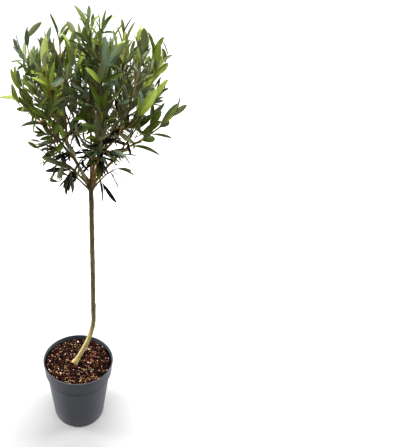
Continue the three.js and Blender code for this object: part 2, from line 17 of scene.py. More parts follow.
import bmesh
import bpy
import numpy as np
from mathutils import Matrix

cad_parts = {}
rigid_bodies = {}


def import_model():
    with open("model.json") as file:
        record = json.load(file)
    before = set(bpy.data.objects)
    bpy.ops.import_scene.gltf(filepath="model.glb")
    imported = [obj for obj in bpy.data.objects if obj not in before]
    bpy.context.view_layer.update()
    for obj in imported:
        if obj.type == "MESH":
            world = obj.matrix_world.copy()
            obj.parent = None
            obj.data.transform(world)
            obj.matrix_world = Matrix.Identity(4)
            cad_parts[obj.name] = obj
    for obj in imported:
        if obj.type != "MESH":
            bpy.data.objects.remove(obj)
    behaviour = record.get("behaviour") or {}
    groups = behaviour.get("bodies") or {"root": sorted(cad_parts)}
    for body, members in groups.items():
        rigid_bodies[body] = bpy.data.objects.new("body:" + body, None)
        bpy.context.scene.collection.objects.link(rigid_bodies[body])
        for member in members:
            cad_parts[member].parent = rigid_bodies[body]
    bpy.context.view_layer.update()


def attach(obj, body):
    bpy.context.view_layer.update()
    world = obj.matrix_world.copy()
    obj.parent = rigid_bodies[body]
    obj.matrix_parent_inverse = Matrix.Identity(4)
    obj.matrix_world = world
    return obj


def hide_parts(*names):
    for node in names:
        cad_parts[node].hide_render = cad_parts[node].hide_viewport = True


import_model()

LOG = logging.getLogger("olive")
MM = 0.001
BODY = "root"
TINY = 1e-6
HALVES = (0, 180)
WAVES = 14
ROUND_STEPS = 5
Pair = tuple[float, float]
Spot = tuple[float, float, float]
Array = np.ndarray
Material = bpy.types.Material
Socket = bpy.types.NodeSocket
Tree = bpy.types.NodeTree

# Small sums on directions


def unit(vectors: Array) -> Array:
    """Divides each vector by its length."""
    return vectors / np.linalg.norm(vectors, axis=-1, keepdims=True)


def circle(sides: int) -> Array:
    """Gives the angles of points set evenly round a circle, in radians."""
    return np.linspace(0, 2 * math.pi, sides, endpoint=False)


def reached(value: Array | float, start: float, end: float) -> Array | float:
    """Gives how far a value has come from a start to an end, held between 0 and 1."""
    return np.clip((value - start) / (end - start), 0, 1)


def heading(azimuth: float, rise: float) -> Array:
    """Gives the unit vector at an azimuth from +X and a rise from the level."""
    turn, lift = math.radians(azimuth), math.radians(rise)
    return np.array([math.cos(lift) * math.cos(turn), math.cos(lift) * math.sin(turn), math.sin(lift)])


def bearing(way: Array) -> Pair:
    """Gives the azimuth and the rise of a unit vector."""
    return math.degrees(math.atan2(way[1], way[0])), math.degrees(math.asin(min(1, max(-1, way[2]))))


def sideways(direction: Array, spin: float) -> Array:
    """Finds a unit vector square to a direction.

    Args:
        direction: The unit direction.
        spin: 0 for the level vector, 90 for the one that is as near up as can be.

    Returns:
        The vector.
    """
    level = np.array([-direction[1], direction[0], 0.0])
    level = unit(level) if np.linalg.norm(level) > TINY else np.array([1.0, 0.0, 0.0])
    turn = math.radians(spin)
    return level * math.cos(turn) + np.cross(direction, level) * math.sin(turn)


def splay(direction: Array, spin: float, angle: float) -> Array:
    """Tilts a direction by an angle towards the side that the spin names."""
    tilt = math.radians(angle)
    return direction * math.cos(tilt) + sideways(direction, spin) * math.sin(tilt)


def spokes(directions: Array, sides: int) -> Array:
    """Finds the unit vectors from paths' middle lines out to the points of their rings.

    Each path takes the world axis that its mean direction is least along as a guide. With a
    the guide less its part along the direction, and b square to both, the vector at angle t
    is a cos t + b sin t, so the rings don't spin about their path.

    Args:
        directions: Unit vectors, shaped (paths, rings, 3).
        sides: Number of points on a ring.

    Returns:
        The vectors, shaped (paths, rings, sides, 3).
    """
    mean = np.abs(directions.mean(axis=1))
    guide = np.eye(3)[mean.argmin(axis=1)][:, None, :]
    along = (guide * directions).sum(axis=-1, keepdims=True)
    across = unit(guide - along * directions)
    over = np.cross(directions, across)
    angle = circle(sides)[:, None]
    return across[:, :, None] * np.cos(angle) + over[:, :, None] * np.sin(angle)


class Dice:
    """Seeded dice: the same seed always gives the same plant."""

    def __init__(self, seed: int) -> None:
        """Starts the dice at a seed."""
        self.state = seed

    def roll(self) -> float:
        """Rolls a number from 0 to 1."""
        self.state = self.state * 48271 % 2147483647
        return self.state / 2147483647

    def spread(self, reach: float) -> float:
        """Rolls a number from minus the reach to the reach."""
        return (2 * self.roll() - 1) * reach


# Surfaces


@dataclass
class Surface:
    """Points, faces of four and three corners, and the number of each face's material."""

    points: Array
    quads: Array
    triangles: Array
    quad_finish: Array
    triangle_finish: Array

    @staticmethod
    def joined(parts: Sequence["Surface"]) -> "Surface":
        """Joins surfaces, moving each one's corner numbers past those before it.

        Args:
            parts: The surfaces.

        Returns:
            One surface of them all.
        """
        offsets = np.cumsum([0] + [len(part.points) for part in parts[:-1]])
        moved = [replace(part, quads=part.quads + offset, triangles=part.triangles + offset)
                 for part, offset in zip(parts, offsets)]
        keys = [item.name for item in fields(Surface)]
        return Surface(*(np.concatenate([getattr(part, key) for part in moved]) for key in keys))


def tubes(rings: Array, ends: Array, finish: Array | int = 0) -> Surface:
    """Skins many closed tubes that have the same number of rings and of points on a ring.

    A side face joins neighbours k and k + 1 on ring r to the same two on ring r + 1. A fan
    of triangles joins the first ring to the tube's start and the last one to its end.

    Args:
        rings: Points shaped (tubes, rings, points, 3), each ring turning right-handed about
            the way that the tube runs.
        ends: The start and end point of each tube, shaped (tubes, 2, 3).
        finish: Material numbers, shaped (tubes, rings - 1, points) or able to stretch to it.

    Returns:
        One surface of all the tubes.
    """
    count, rows, sides, _ = rings.shape
    points = np.concatenate([rings.reshape(count, rows * sides, 3), ends], axis=1)
    first = (np.arange(count) * (rows * sides + 2))[:, None, None]
    row = np.arange(rows - 1)[None, :, None] * sides
    here = np.arange(sides)[None, None, :]
    after = (here + 1) % sides
    corners = [row + here, row + after, row + sides + after, row + sides + here]
    quads = np.stack([first + corner for corner in corners], axis=-1).reshape(-1, 4)
    ring, next_one = here[0], after[0]
    start = np.full_like(ring, rows * sides)
    last = (rows - 1) * sides
    opening = np.stack([start, next_one, ring], axis=-1)
    closing = np.stack([start + 1, last + ring, last + next_one], axis=-1)
    triangles = (np.concatenate([opening, closing], axis=1) + first).reshape(-1, 3)
    worn = np.broadcast_to(finish, (count, rows - 1, sides))
    fan_finish = np.concatenate([worn[:, 0, :], worn[:, -1, :]], axis=1)
    return Surface(points.reshape(-1, 3), quads, triangles, worn.reshape(-1), fan_finish.reshape(-1))


def turned(profile: Array, sides: int) -> Surface:
    """Turns a profile of (radius, height) about +Z, from one point on the axis to another.

    The point of row i at angle a is (radius_i cos a, radius_i sin a, height_i). The profile
    runs from the top down to the bottom as seen from outside, so its tube runs that way.

    Args:
        profile: Points shaped (rows, 2), whose first and last lie on the axis.
        sides: Number of points round each ring.

    Returns:
        The closed surface.
    """
    angle = circle(sides)
    radius, height = profile[1:-1, 0:1], profile[1:-1, 1:2]
    flat = np.zeros_like(radius * angle)
    rings = np.stack([radius * np.cos(angle), radius * np.sin(angle), height + flat], axis=-1)
    return tubes(rings[None], np.array([[[0, 0, profile[0, 1]], [0, 0, profile[-1, 1]]]]))


def rounded(corners: Sequence[Spot]) -> Array:
    """Rounds the corners of a profile.

    Each corner (radius, height, rounding) becomes a curve that starts and ends at the
    rounding's length from the corner, on its two sides: (1-t)^2 of its start, 2t(1-t) of the
    corner and t^2 of its end. A corner with no rounding stays a point.

    Args:
        corners: The corners in order, open at both ends.

    Returns:
        Points of the rounded profile, shaped (points, 2).
    """
    spots = np.array([corner[:2] for corner in corners], float)
    t = np.linspace(0, 1, ROUND_STEPS + 1)[:, None]
    made = []
    for i, (_, _, rounding) in enumerate(corners):
        if rounding == 0:
            made.append(spots[i : i + 1])
            continue
        back = spots[i] + unit(spots[i - 1] - spots[i]) * rounding
        on = spots[i] + unit(spots[i + 1] - spots[i]) * rounding
        made.append((1 - t) ** 2 * back + 2 * t * (1 - t) * spots[i] + t**2 * on)
    return np.concatenate(made)


def waves(places: Array, size: float, seed: int) -> Array:
    """Works out soft random relief: a sum of sine waves that run in all directions.

    Each wave is sin(k . p + phase), with k of length 2 pi / size times a spread about 1. The
    sum is divided by the root of half the count, so that it mostly lies between -2 and 2.

    Args:
        places: Points shaped (..., 3).
        size: The usual wave's length.
        seed: Seed of the waves.

    Returns:
        The relief at each point.
    """
    chance = np.random.default_rng(seed)
    ways = unit(chance.normal(size=(WAVES, 3)))
    lengths = 2 * math.pi / size * chance.uniform(0.6, 1.6, WAVES)
    phases = chance.uniform(0, 2 * math.pi, WAVES)
    return np.sin(places @ (ways * lengths[:, None]).T + phases).sum(axis=-1) / math.sqrt(WAVES / 2)


def put(name: str, data: bpy.types.ID) -> bpy.types.Object:
    """Makes an object of a mesh, a light or a camera and links it into the scene.

    Args:
        name: The object's name.
        data: What it shows.

    Returns:
        The object.
    """
    thing = bpy.data.objects.new(name, data)
    bpy.context.scene.collection.objects.link(thing)
    return thing


def make_mesh(name: str, surface: Surface) -> bpy.types.Mesh:
    """Makes a mesh of a surface, scaled from millimetres to metres.

    Args:
        name: The mesh's name.
        surface: The surface.

    Returns:
        The mesh.
    """
    mesh = bpy.data.meshes.new(name)
    mesh.from_pydata(surface.points * MM, [], surface.quads.tolist() + surface.triangles.tolist())
    return mesh


def make_piece(
    name: str,
    surface: Surface,
    finishes: Sequence[Material],
    nodes: Iterable[str] = (),
    crease: float = 40,
) -> bpy.types.Object:
    """Makes a surface a piece that rides on the plant's body.

    Args:
        name: The piece's name.
        surface: The surface, in millimetres.
        finishes: Its materials, in the order of the face numbers.
        nodes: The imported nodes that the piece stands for.
        crease: Edges that bend by more than this many degrees stay sharp.

    Returns:
        The piece.
    """
    mesh = make_mesh(name, surface)
    worn = np.concatenate([surface.quad_finish, surface.triangle_finish]).astype(np.int32)
    for finish in finishes:
        mesh.materials.append(finish)
    mesh.polygons.foreach_set("material_index", worn)
    mesh.polygons.foreach_set("use_smooth", np.ones(len(worn), bool))
    mesh.set_sharp_from_angle(angle=math.radians(crease))
    mesh.update()
    piece = put(name, mesh)
    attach(piece, BODY)
    if nodes:
        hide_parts(*nodes)
    LOG.info("%s: %d faces", name, len(mesh.polygons))
    return piece


# Finishes


def linear(code: str) -> tuple[float, float, float, float]:
    """Turns a colour code such as 4b4c50 into linear red, green and blue, and a full alpha."""
    parts = [int(code[i : i + 2], 16) / 255 for i in (0, 2, 4)]
    return (*(p / 12.92 if p <= 0.04045 else ((p + 0.055) / 1.055) ** 2.4 for p in parts), 1.0)


class Bench:
    """Puts nodes into one node tree and links them."""

    def __init__(self, tree: Tree) -> None:
        """Takes the tree to work on."""
        self.tree = tree

    def add(self, kind: str, inputs: dict | None = None, **settings: object) -> bpy.types.Node:
        """Adds a node, sets its properties, and sets or links its inputs.

        Args:
            kind: The node's type after ShaderNode, such as Bump.
            inputs: A value or a socket to link for each named or numbered input.
            settings: The node's own properties.

        Returns:
            The node.
        """
        node = self.tree.nodes.new(kind if kind.startswith("NodeGroup") else f"ShaderNode{kind}")
        for key, value in settings.items():
            setattr(node, key, value)
        for key, value in (inputs or {}).items():
            if isinstance(value, Socket):
                self.link(value, node, key)
            else:
                node.inputs[key].default_value = value
        return node

    def link(self, socket: Socket, node: bpy.types.Node, key: str | int) -> None:
        """Links a socket to the input of a node that the key names."""
        self.tree.links.new(socket, node.inputs[key])

    def get(self, kind: str, inputs: dict, output: str | int = 0, **settings: object) -> Socket:
        """Adds a node as add does, and gives one of its outputs."""
        return self.add(kind, inputs, **settings).outputs[output]

    def mix(self, share: object, one: object, other: object, how: str = "MIX") -> Socket:
        """Mixes two colours by a share, and gives the result's socket."""
        return self.get("Mix", {0: share, 6: one, 7: other}, 2, data_type="RGBA", blend_type=how)

    def sum(self, kind: str, one: object, other: object, clamp: bool = False) -> Socket:
        """Works out one number from two by a named operation, clamped to 0 to 1 if asked."""
        return self.get("Math", {0: one, 1: other}, operation=kind, use_clamp=clamp)


class Effect:
    """A shared shader node group with a Vector input, number inputs and number outputs."""

    def __init__(self, name: str, inputs: dict[str, float], outputs: Sequence[str]) -> None:
        """Starts the group with its sockets.

        Args:
            name: The group's name.
            inputs: The number inputs and their defaults.
            outputs: The names of the number outputs.
        """
        self.tree = bpy.data.node_groups.new(name, "ShaderNodeTree")
        face = self.tree.interface
        face.new_socket("Vector", in_out="INPUT", socket_type="NodeSocketVector")
        for key, value in inputs.items():
            face.new_socket(key, in_out="INPUT", socket_type="NodeSocketFloat").default_value = value
        for key in outputs:
            face.new_socket(key, in_out="OUTPUT", socket_type="NodeSocketFloat")
        self.bench = Bench(self.tree)
        self.given = self.bench.add("NodeGroupInput").outputs
        self.out = self.bench.add("NodeGroupOutput")

    def texture(self, kind: str, scale: object, output: str | int = 0, **more: object) -> Socket:
        """Adds a texture on the group's vector or on another one, and gives its output."""
        return self.bench.get(kind, {"Vector": self.given["Vector"], "Scale": scale, **more}, output)

    def give(self, **sockets: Socket) -> Tree:
        """Links the sockets to the outputs of their names, and gives the finished group.

        Args:
            sockets: The socket for each output.

        Returns:
            The group.
        """
        for key, socket in sockets.items():
            self.bench.link(socket, self.out, key)
        return self.tree


class Effects:
    """The shared effects, each a node group built once."""

    def __init__(self) -> None:
        """Builds the groups."""
        self.mottle, self.grain = self._mottle(), self._grain()
        self.dust, self.specks = self._dust(), self._specks()

    def _mottle(self) -> Tree:
        """Builds soft blotches in two sizes: a mask of two noises, sharpened by a contrast.

        Returns:
            The group.
        """
        effect = Effect("soft_mottle", {"Scale": 40.0, "Contrast": 1.5}, ["Mask"])
        bench, given = effect.bench, effect.given
        broad = effect.texture("TexNoise", given["Scale"], Detail=2.0)
        fine = effect.texture("TexNoise", bench.sum("MULTIPLY", given["Scale"], 5.0), Detail=3.0)
        both = bench.sum("ADD", bench.sum("MULTIPLY", broad, 0.65), bench.sum("MULTIPLY", fine, 0.35))
        spread = bench.sum("MULTIPLY", bench.sum("SUBTRACT", both, 0.5), given["Contrast"])
        return effect.give(Mask=bench.sum("ADD", spread, 0.5, True))

    def _grain(self) -> Tree:
        """Builds lengthwise fibres: noise that is drawn out along Z, and fine pits on it.

        Returns:
            The group.
        """
        effect = Effect("bark_grain", {"Scale": 600.0, "Stretch": 0.12}, ["Height", "Mask"])
        bench, given = effect.bench, effect.given
        shape = bench.get("CombineXYZ", {0: 1.0, 1: 1.0, 2: given["Stretch"]})
        drawn = bench.get("VectorMath", {0: given["Vector"], 1: shape}, operation="MULTIPLY")
        fibre = effect.texture("TexNoise", given["Scale"], Vector=drawn, Detail=4.0)
        pits = bench.sum("MULTIPLY", effect.texture("TexVoronoi", given["Scale"], "Distance"), 0.4)
        return effect.give(Height=bench.sum("ADD", fibre, pits), Mask=fibre)

    def _dust(self) -> Tree:
        """Builds dust that thins with height: a ramp on Z broken up by noise.

        Returns:
            The group.
        """
        effect = Effect("settled_dust", {"Low": 0.0, "High": 0.03, "Amount": 0.5}, ["Mask"])
        bench, given = effect.bench, effect.given
        height = bench.get("SeparateXYZ", {0: given["Vector"]}, 2)
        ramp = bench.get("MapRange", {0: height, 1: given["Low"], 2: given["High"], 3: 1.0, 4: 0.0})
        broken = bench.sum("MULTIPLY", ramp, effect.texture("TexNoise", 90.0, Detail=5.0))
        return effect.give(Mask=bench.sum("MULTIPLY", broken, given["Amount"], True))

    def _specks(self) -> Tree:
        """Builds small round specks: the middles of some cells of a Voronoi pattern.

        Returns:
            The group.
        """
        effect = Effect("pale_specks", {"Scale": 300.0, "Size": 0.2}, ["Mask"])
        cells = effect.texture("TexVoronoi", effect.given["Scale"], "Distance")
        ramp = {0: cells, 1: effect.given["Size"], 2: 0.0, 3: 0.0, 4: 1.0}
        return effect.give(Mask=effect.bench.get("MapRange", ramp))


@dataclass
class Blank:
    """A material that is being made, with its shader, object coordinates and mottled colour."""

    effects: Effects
    bench: Bench
    shader: bpy.types.Node
    place: Socket
    colour: Socket | None = None

    def wear(self, socket: Socket, name: str = "Base Color") -> None:
        """Links a socket to the shader's input of a name."""
        self.bench.link(socket, self.shader, name)

    def effect(self, name: str, **values: float) -> bpy.types.NodeOutputs:
        """Places a shared effect in the material with its own values, and gives its outputs."""
        tree = getattr(self.effects, name)
        return self.bench.add("Group", {"Vector": self.place, **values}, node_tree=tree).outputs


@dataclass(frozen=True)
class Finish:
    """A name, two colours mixed by a mottle, how they shine, and a fine grain.

    The bump's depth is how far the full grain stands out, in metres.
    """

    name: str
    base: str
    tint: str
    roughness: float = 0.6
    scale: float = 60.0
    contrast: float = 2.0
    bump: float = 0.1
    bump_depth: float = 0.0002
    shine: float = 0.5
    grains_per_blotch: float = 12

    def material(self, effects: Effects) -> Material:
        """Makes the material: mottled colour, what the kind of finish adds, and its grain.

        Args:
            effects: The shared node groups.

        Returns:
            The material.
        """
        material = bpy.data.materials.new(self.name)
        material.use_nodes = True
        material.diffuse_color = linear(self.base)
        bench, shader = Bench(material.node_tree), material.node_tree.nodes["Principled BSDF"]
        shader.inputs["Roughness"].default_value = self.roughness
        shader.inputs["Specular IOR Level"].default_value = self.shine
        blank = Blank(effects, bench, shader, bench.get("TexCoord", {}, "Object"))
        mottle = blank.effect("mottle", Scale=self.scale, Contrast=self.contrast)
        blank.colour = bench.mix(mottle["Mask"], linear(self.base), linear(self.tint))
        blank.wear(blank.colour)
        bump = {"Height": self.dress(blank), "Strength": self.bump, "Distance": self.bump_depth}
        blank.wear(bench.get("Bump", bump), "Normal")
        return material

    def dress(self, blank: Blank) -> Socket:
        """Gives the height of the grain. Other kinds of finish add their own nodes here too."""
        return blank.effect("grain", Scale=self.scale * self.grains_per_blotch)["Height"]


@dataclass(frozen=True)
class MouldedPlastic(Finish):
    """Dull moulded plastic with fine scuffs, paler where dust settles low on the wall."""

    dust: str = "77746c"
    dust_high: float = 0.03
    dust_amount: float = 0.5
    scuff: float = 0.14
    grain_scale: float = 420.0
    grain_stretch: float = 0.6

    def dress(self, blank: Blank) -> Socket:
        """Adds the dust, and scuffs in the shine.

        Args:
            blank: The material that is being made.

        Returns:
            The height of the moulded grain.
        """
        bench = blank.bench
        dust = blank.effect("dust", Low=0.0, High=self.dust_high, Amount=self.dust_amount)
        blank.wear(bench.mix(dust["Mask"], blank.colour, linear(self.dust)))
        grain = blank.effect("grain", Scale=self.grain_scale, Stretch=self.grain_stretch)
        scuffed = bench.sum("MULTIPLY", grain["Mask"], self.scuff)
        blank.wear(bench.sum("ADD", scuffed, self.roughness), "Roughness")
        return grain["Height"]


@dataclass(frozen=True)
class Bark(Finish):
    """Thin young bark whose colour changes with height, with fibres and pale specks."""

    low: str = "8c7c50"
    low_at: float = 0.2
    high_at: float = 0.24
    drift: float = 0.03
    specks: str = "a89a74"
    speck_scale: float = 420.0
    speck_size: float = 0.22
    speck_share: float = 0.7
    fibre_scale: float = 700.0
    fibre_stretch: float = 0.1
    groove: float = 0.62
    groove_from: float = 0.35
    groove_to: float = 0.6

    def dress(self, blank: Blank) -> Socket:
        """Lets the low colour give way to the mottle, then adds specks and dark grooves.

        Args:
            blank: The material that is being made.

        Returns:
            The height of the fibres.
        """
        bench = blank.bench
        grain = blank.effect("grain", Scale=self.fibre_scale, Stretch=self.fibre_stretch)
        drift = bench.sum("MULTIPLY", grain["Mask"], self.drift)
        height = bench.sum("ADD", bench.get("SeparateXYZ", {0: blank.place}, 2), drift)
        rise = bench.get("MapRange", {0: height, 1: self.low_at, 2: self.high_at})
        zoned = bench.mix(rise, linear(self.low), blank.colour)
        dots = blank.effect("specks", Scale=self.speck_scale, Size=self.speck_size)
        share = bench.sum("MULTIPLY", dots["Mask"], self.speck_share)
        dotted = bench.mix(share, zoned, linear(self.specks))
        ramp = {0: grain["Mask"], 1: self.groove_from, 2: self.groove_to, 3: self.groove, 4: 1.0}
        blank.wear(bench.mix(1.0, dotted, bench.get("MapRange", ramp), "MULTIPLY"))
        return grain["Height"]


@dataclass(frozen=True)
class LeafSkin(Finish):
    """One side of a leaf: soft mottle, a waxy shine and a faint grain."""

    scale: float = 45
    shine: float = 0.28
    wax: float = 0.0
    wax_roughness: float = 0.35
    grain_scale: float = 900.0

    def dress(self, blank: Blank) -> Socket:
        """Adds the wax as a coat.

        Args:
            blank: The material that is being made.

        Returns:
            The height of the grain.
        """
        blank.shader.inputs["Coat Weight"].default_value = self.wax
        blank.shader.inputs["Coat Roughness"].default_value = self.wax_roughness
        return blank.effect("grain", Scale=self.grain_scale, Stretch=1.0)["Height"]


class Tone(Enum):
    """The tones that leaves come in, from new tips to near-black leaves whose colour is painted shade."""

    BRIGHT = 0
    FRESH = 1
    GREEN = 2
    SAGE = 3
    GREY = 4
    # painted shade: a near-black leaf colour that stands for shadow deep in the crown
    DEEP = 5


@dataclass(frozen=True)
class LeafFinish:
    """The three surfaces of a leaf of one tone, and how large and broad such leaves are."""

    tone: Tone
    top: str
    top_tint: str
    rib: str
    under: str
    under_tint: str
    size: float
    breadth: float

    def materials(self, effects: Effects) -> list[Material]:
        """Makes the upper side, the midrib and the underside, in that order.

        Args:
            effects: The shared node groups.

        Returns:
            The materials.
        """
        name = f"leaf_{self.tone.name.lower()}"
        top = LeafSkin(f"{name}_top", self.top, self.top_tint, roughness=0.44, wax=0.06)
        rib = LeafSkin(f"{name}_rib", self.rib, self.top, roughness=0.5)
        under = LeafSkin(f"{name}_under", self.under, self.under_tint, roughness=0.72)
        return [skin.material(effects) for skin in (top, rib, under)]


LEAF_FINISHES = (
    LeafFinish(Tone.BRIGHT, "8b954a", "a4ab72", "bac192", "9ea47e", "b0b692", 0.88, 1.16),
    LeafFinish(Tone.FRESH, "707e30", "869248", "a2a970", "8b9366", "9ea57e", 0.9, 1.14),
    LeafFinish(Tone.GREEN, "435016", "5a672b", "828c56", "757e58", "8a916b", 0.88, 1.08),
    LeafFinish(Tone.SAGE, "5c6c56", "73826e", "8e9a88", "7e8a78", "909c88", 0.84, 1.05),
    LeafFinish(Tone.GREY, "555a40", "6c6f52", "8f9174", "7d7f66", "929478", 0.8, 0.95),
    # near-black leaf colours: painted shade for the inner and low sprays
    LeafFinish(Tone.DEEP, "0d0f04", "1a1c0a", "3a3a20", "2a2c17", "3a3b24", 0.74, 0.82),
)

# The growth rule


@dataclass
class Path:
    """A limb's way: its points, the direction at each, and its length."""

    points: Array
    headings: Array
    length: float

    @staticmethod
    def arc(start: Array, way: Pair, length: float, turn: float, bend: float,
            steps: int) -> "Path":
        """Makes a path that turns and bends evenly over its length.

        Args:
            start: Its first point.
            way: The azimuth and the rise that it starts with.
            length: Its length.
            turn: How far its azimuth grows in all.
            bend: How far its rise grows in all.
            steps: Number of straight steps.

        Returns:
            The path.
        """
        azimuth, rise = way
        points, headings = [start], [heading(azimuth, rise)]
        for i in range(steps):
            middle, end = (i + 0.5) / steps, (i + 1) / steps
            stride = heading(azimuth + turn * middle, rise + bend * middle) * (length / steps)
            points.append(points[-1] + stride)
            headings.append(heading(azimuth + turn * end, rise + bend * end))
        return Path(np.array(points), np.array(headings), length)

    def at(self, share: float) -> tuple[Array, Array]:
        """Finds a place on the path.

        Args:
            share: The share of the length that it lies at.

        Returns:
            The point and the direction there.
        """
        steps = len(self.points) - 1
        step = min(math.floor(share * steps), steps - 1)
        part = share * steps - step
        point, direction = (
            row[step] + (row[step + 1] - row[step]) * part for row in (self.points, self.headings)
        )
        return point, unit(direction)

    def smooth(self, rings: int) -> tuple[Array, Array]:
        """Samples the smooth curve through the points that has their headings.

        On each stretch of length s from p to q with headings d and e the point at share t is
        (2t^3-3t^2+1) p + (t^3-2t^2+t) s d + (3t^2-2t^3) q + (t^3-t^2) s e.

        Args:
            rings: Number of samples, evenly spaced over the stretches.

        Returns:
            The points and the unit directions, each shaped (rings, 3).
        """
        steps = len(self.points) - 1
        place = np.linspace(0, steps, rings)
        step = np.minimum(place.astype(int), steps - 1)
        t = (place - step)[:, None]
        p, q = self.points[step], self.points[step + 1]
        d, e = self.headings[step], self.headings[step + 1]
        s = np.linalg.norm(q - p, axis=1, keepdims=True)
        points = (2 * t**3 - 3 * t**2 + 1) * p + (t**3 - 2 * t**2 + t) * s * d
        points = points + (3 * t**2 - 2 * t**3) * q + (t**3 - t**2) * s * e
        return points, unit(d + (e - d) * t)


def tapered(radius: float, taper: float, share: Array | float) -> Array | float:
    """Gives the radius at a share of a limb whose tip has the taper times its root's radius."""
    return radius * (1 - (1 - taper) * share)


def line_gaps(p: Array, q: Array, a: Array, b: Array) -> Array:
    """Works out the least distance between each line from p to q and each line from a to b.

    The nearest shares s and t of the two lines solve a pair of linear equations, and each is
    held between 0 and 1.

    Args:
        p: Starts of the first lines, shaped (lines, 3).
        q: Their ends.
        a: Starts of the other lines, shaped (others, 3).
        b: Their ends.

    Returns:
        The distances, shaped (lines, others).
    """
    first, other = (q - p)[:, None], (b - a)[None]
    apart = p[:, None] - a[None]
    long, wide = (first * first).sum(-1), (other * other).sum(-1)
    f, c, m = (other * apart).sum(-1), (first * apart).sum(-1), (first * other).sum(-1)
    spread = long * wide - m * m
    solved = (m * f - c * wide) / np.where(spread > TINY, spread, 1)
    s = np.where(spread > TINY, np.clip(solved, 0, 1), 0)
    t = np.clip((m * s + f) / wide, 0, 1)
    s = np.clip((m * t - c) / long, 0, 1)
    return np.linalg.norm(apart + s[..., None] * first - t[..., None] * other, axis=-1)


class Rods:
    """Round straight stretches that others keep clear of."""

    def __init__(self) -> None:
        """Starts with none."""
        self.starts, self.ends, self.radii = np.zeros((0, 3)), np.zeros((0, 3)), np.zeros(0)

    def add(self, starts: Array, ends: Array, radii: Array | float) -> None:
        """Adds stretches.

        Args:
            starts: Their starts, shaped (stretches, 3).
            ends: Their ends.
            radii: Their radii, or one for all.
        """
        self.starts = np.concatenate([self.starts, starts])
        self.ends = np.concatenate([self.ends, ends])
        self.radii = np.concatenate([self.radii, np.broadcast_to(radii, len(starts))])

    def add_path(self, path: Path, radius: float, taper: float = 1) -> None:
        """Adds the steps of a tapering path.

        Args:
            path: The path.
            radius: Its radius at its start.
            taper: The radius at its tip as a share of that.
        """
        steps = len(path.points) - 1
        self.add(path.points[:-1], path.points[1:], tapered(radius, taper, np.arange(steps) / steps))

    def clear(self, starts: Array, ends: Array, clearance: float) -> bool:
        """Tells whether lines stay clear of every stretch.

        Only the stretches whose middles lie near enough are measured.

        Args:
            starts: Starts of the lines, shaped (lines, 3).
            ends: Ends of the lines.
            clearance: The least distance to a stretch's skin.

        Returns:
            Whether no line comes nearer.
        """
        middle = (starts.mean(axis=0) + ends.mean(axis=0)) / 2
        span = max(np.linalg.norm(side - middle, axis=1).max() for side in (starts, ends))
        reach = span + np.linalg.norm(self.ends - self.starts, axis=1) / 2 + self.radii + clearance
        near = np.linalg.norm((self.starts + self.ends) / 2 - middle, axis=1) <= reach
        if not near.any():
            return True
        gaps = line_gaps(starts, ends, self.starts[near], self.ends[near])
        return bool((gaps > self.radii[near] + clearance).all())


@dataclass(frozen=True)
class Spray:
    """The stem of a foliage mass, whose leaves are pulled down by hang.

    A stray spray has no side shoots, and may reach a little past the crown.
    """

    azimuth: float
    rise: float
    length: float
    bend: float
    hang: float
    stray: bool = False


@dataclass(frozen=True)
class Bough:
    """A limb that leaves the trunk or another bough at a share of its length.

    Its fullness tells how readily finer twigs grow in its mass.
    """

    name: str
    parent: str
    at: float
    azimuth: float
    rise: float
    length: float
    bend: float
    radius: float
    spray: Spray
    fullness: float = 1.0


BOUGHS = (
    Bough("left_main", "trunk", 0.992, -156, 55, 76, 14, 3.4, Spray(118, 77, 146, 10, 0), 1.4),
    Bough("lead_right", "trunk", 0.996, 18, 71, 85, -6, 2.9, Spray(-17, 75, 125, 14, 0), 0.7),
    Bough("lead_left", "trunk", 0.99, -74, 66, 86, 8, 2.8, Spray(-126, 78, 146, 9, 0), 1.15),
    Bough("back_main", "trunk", 0.988, 90, 54, 78, 10, 2.9, Spray(106, 62, 128, 16, 0)),
    Bough("right_main", "trunk", 0.98, -11, 57, 83, -14, 2.9, Spray(-8, 30, 88, 14, 0, True), 0.45),
    Bough("front_low", "trunk", 0.974, -72, 50, 66, 0, 2.2, Spray(-88, 46, 108, 16, 0)),
    Bough("left_low", "trunk", 0.976, -165, 50, 57, -8, 2.2, Spray(-160, 62, 94, 12, 0), 1.9),
    Bough("back_low", "trunk", 0.972, 72, 46, 54, 0, 2, Spray(69, 54, 112, 14, 0)),
    Bough("left_hang", "trunk", 0.957, -140, 46, 34, 0, 1.9, Spray(-130, 50, 48, -20, 0.35), 4.5),
    Bough("right_hang", "trunk", 0.962, 4, 52, 32, -8, 1.9, Spray(-10, 38, 22, -12, 0.3), 0.0),
    Bough("left_mid", "left_main", 0.6, 171, 53, 72, -10, 2.2, Spray(175, 50, 64, 14, 0, True), 0.2),
    Bough("left_front", "left_main", 0.78, -110, 47, 67, 0, 2, Spray(-105, 55, 94, 15, 0)),
    Bough("left_back", "left_main", 0.5, 126, 47, 75, 0, 2, Spray(128, 62, 111, 14, 0), 1.3),
    Bough("left_top", "left_main", 0.64, -146, 50, 78, 6, 1.9, Spray(155, 70, 108, 12, 0), 1.25),
    Bough("front_top", "lead_left", 0.8, -79, 53, 71, 6, 1.9, Spray(-88, 68, 90, 12, 0)),
    Bough("front_right", "lead_left", 0.52, -53, 41, 73, 0, 2, Spray(-44, 60, 98, 18, 0)),
    Bough("right_top", "lead_right", 0.88, -45, 54, 72, 6, 1.9, Spray(-30, 67, 72, 14, 0), 0.7),
    Bough("right_mid", "lead_right", 0.6, 18, 48, 75, -6, 2, Spray(10, 65, 84, 17, 0), 0.5),
    Bough("top_back", "lead_right", 0.8, 106, 51, 69, 20, 1.8, Spray(160, 77, 97, 6, 0), 0.75),
    Bough("back_right", "back_main", 0.78, 36, 45, 73, -6, 1.9, Spray(44, 66, 92, 18, 0)),
    Bough("right_low", "right_main", 0.62, -46, 50, 51, 0, 1.9, Spray(-54, 48, 72, 14, 0), 0.6),
)


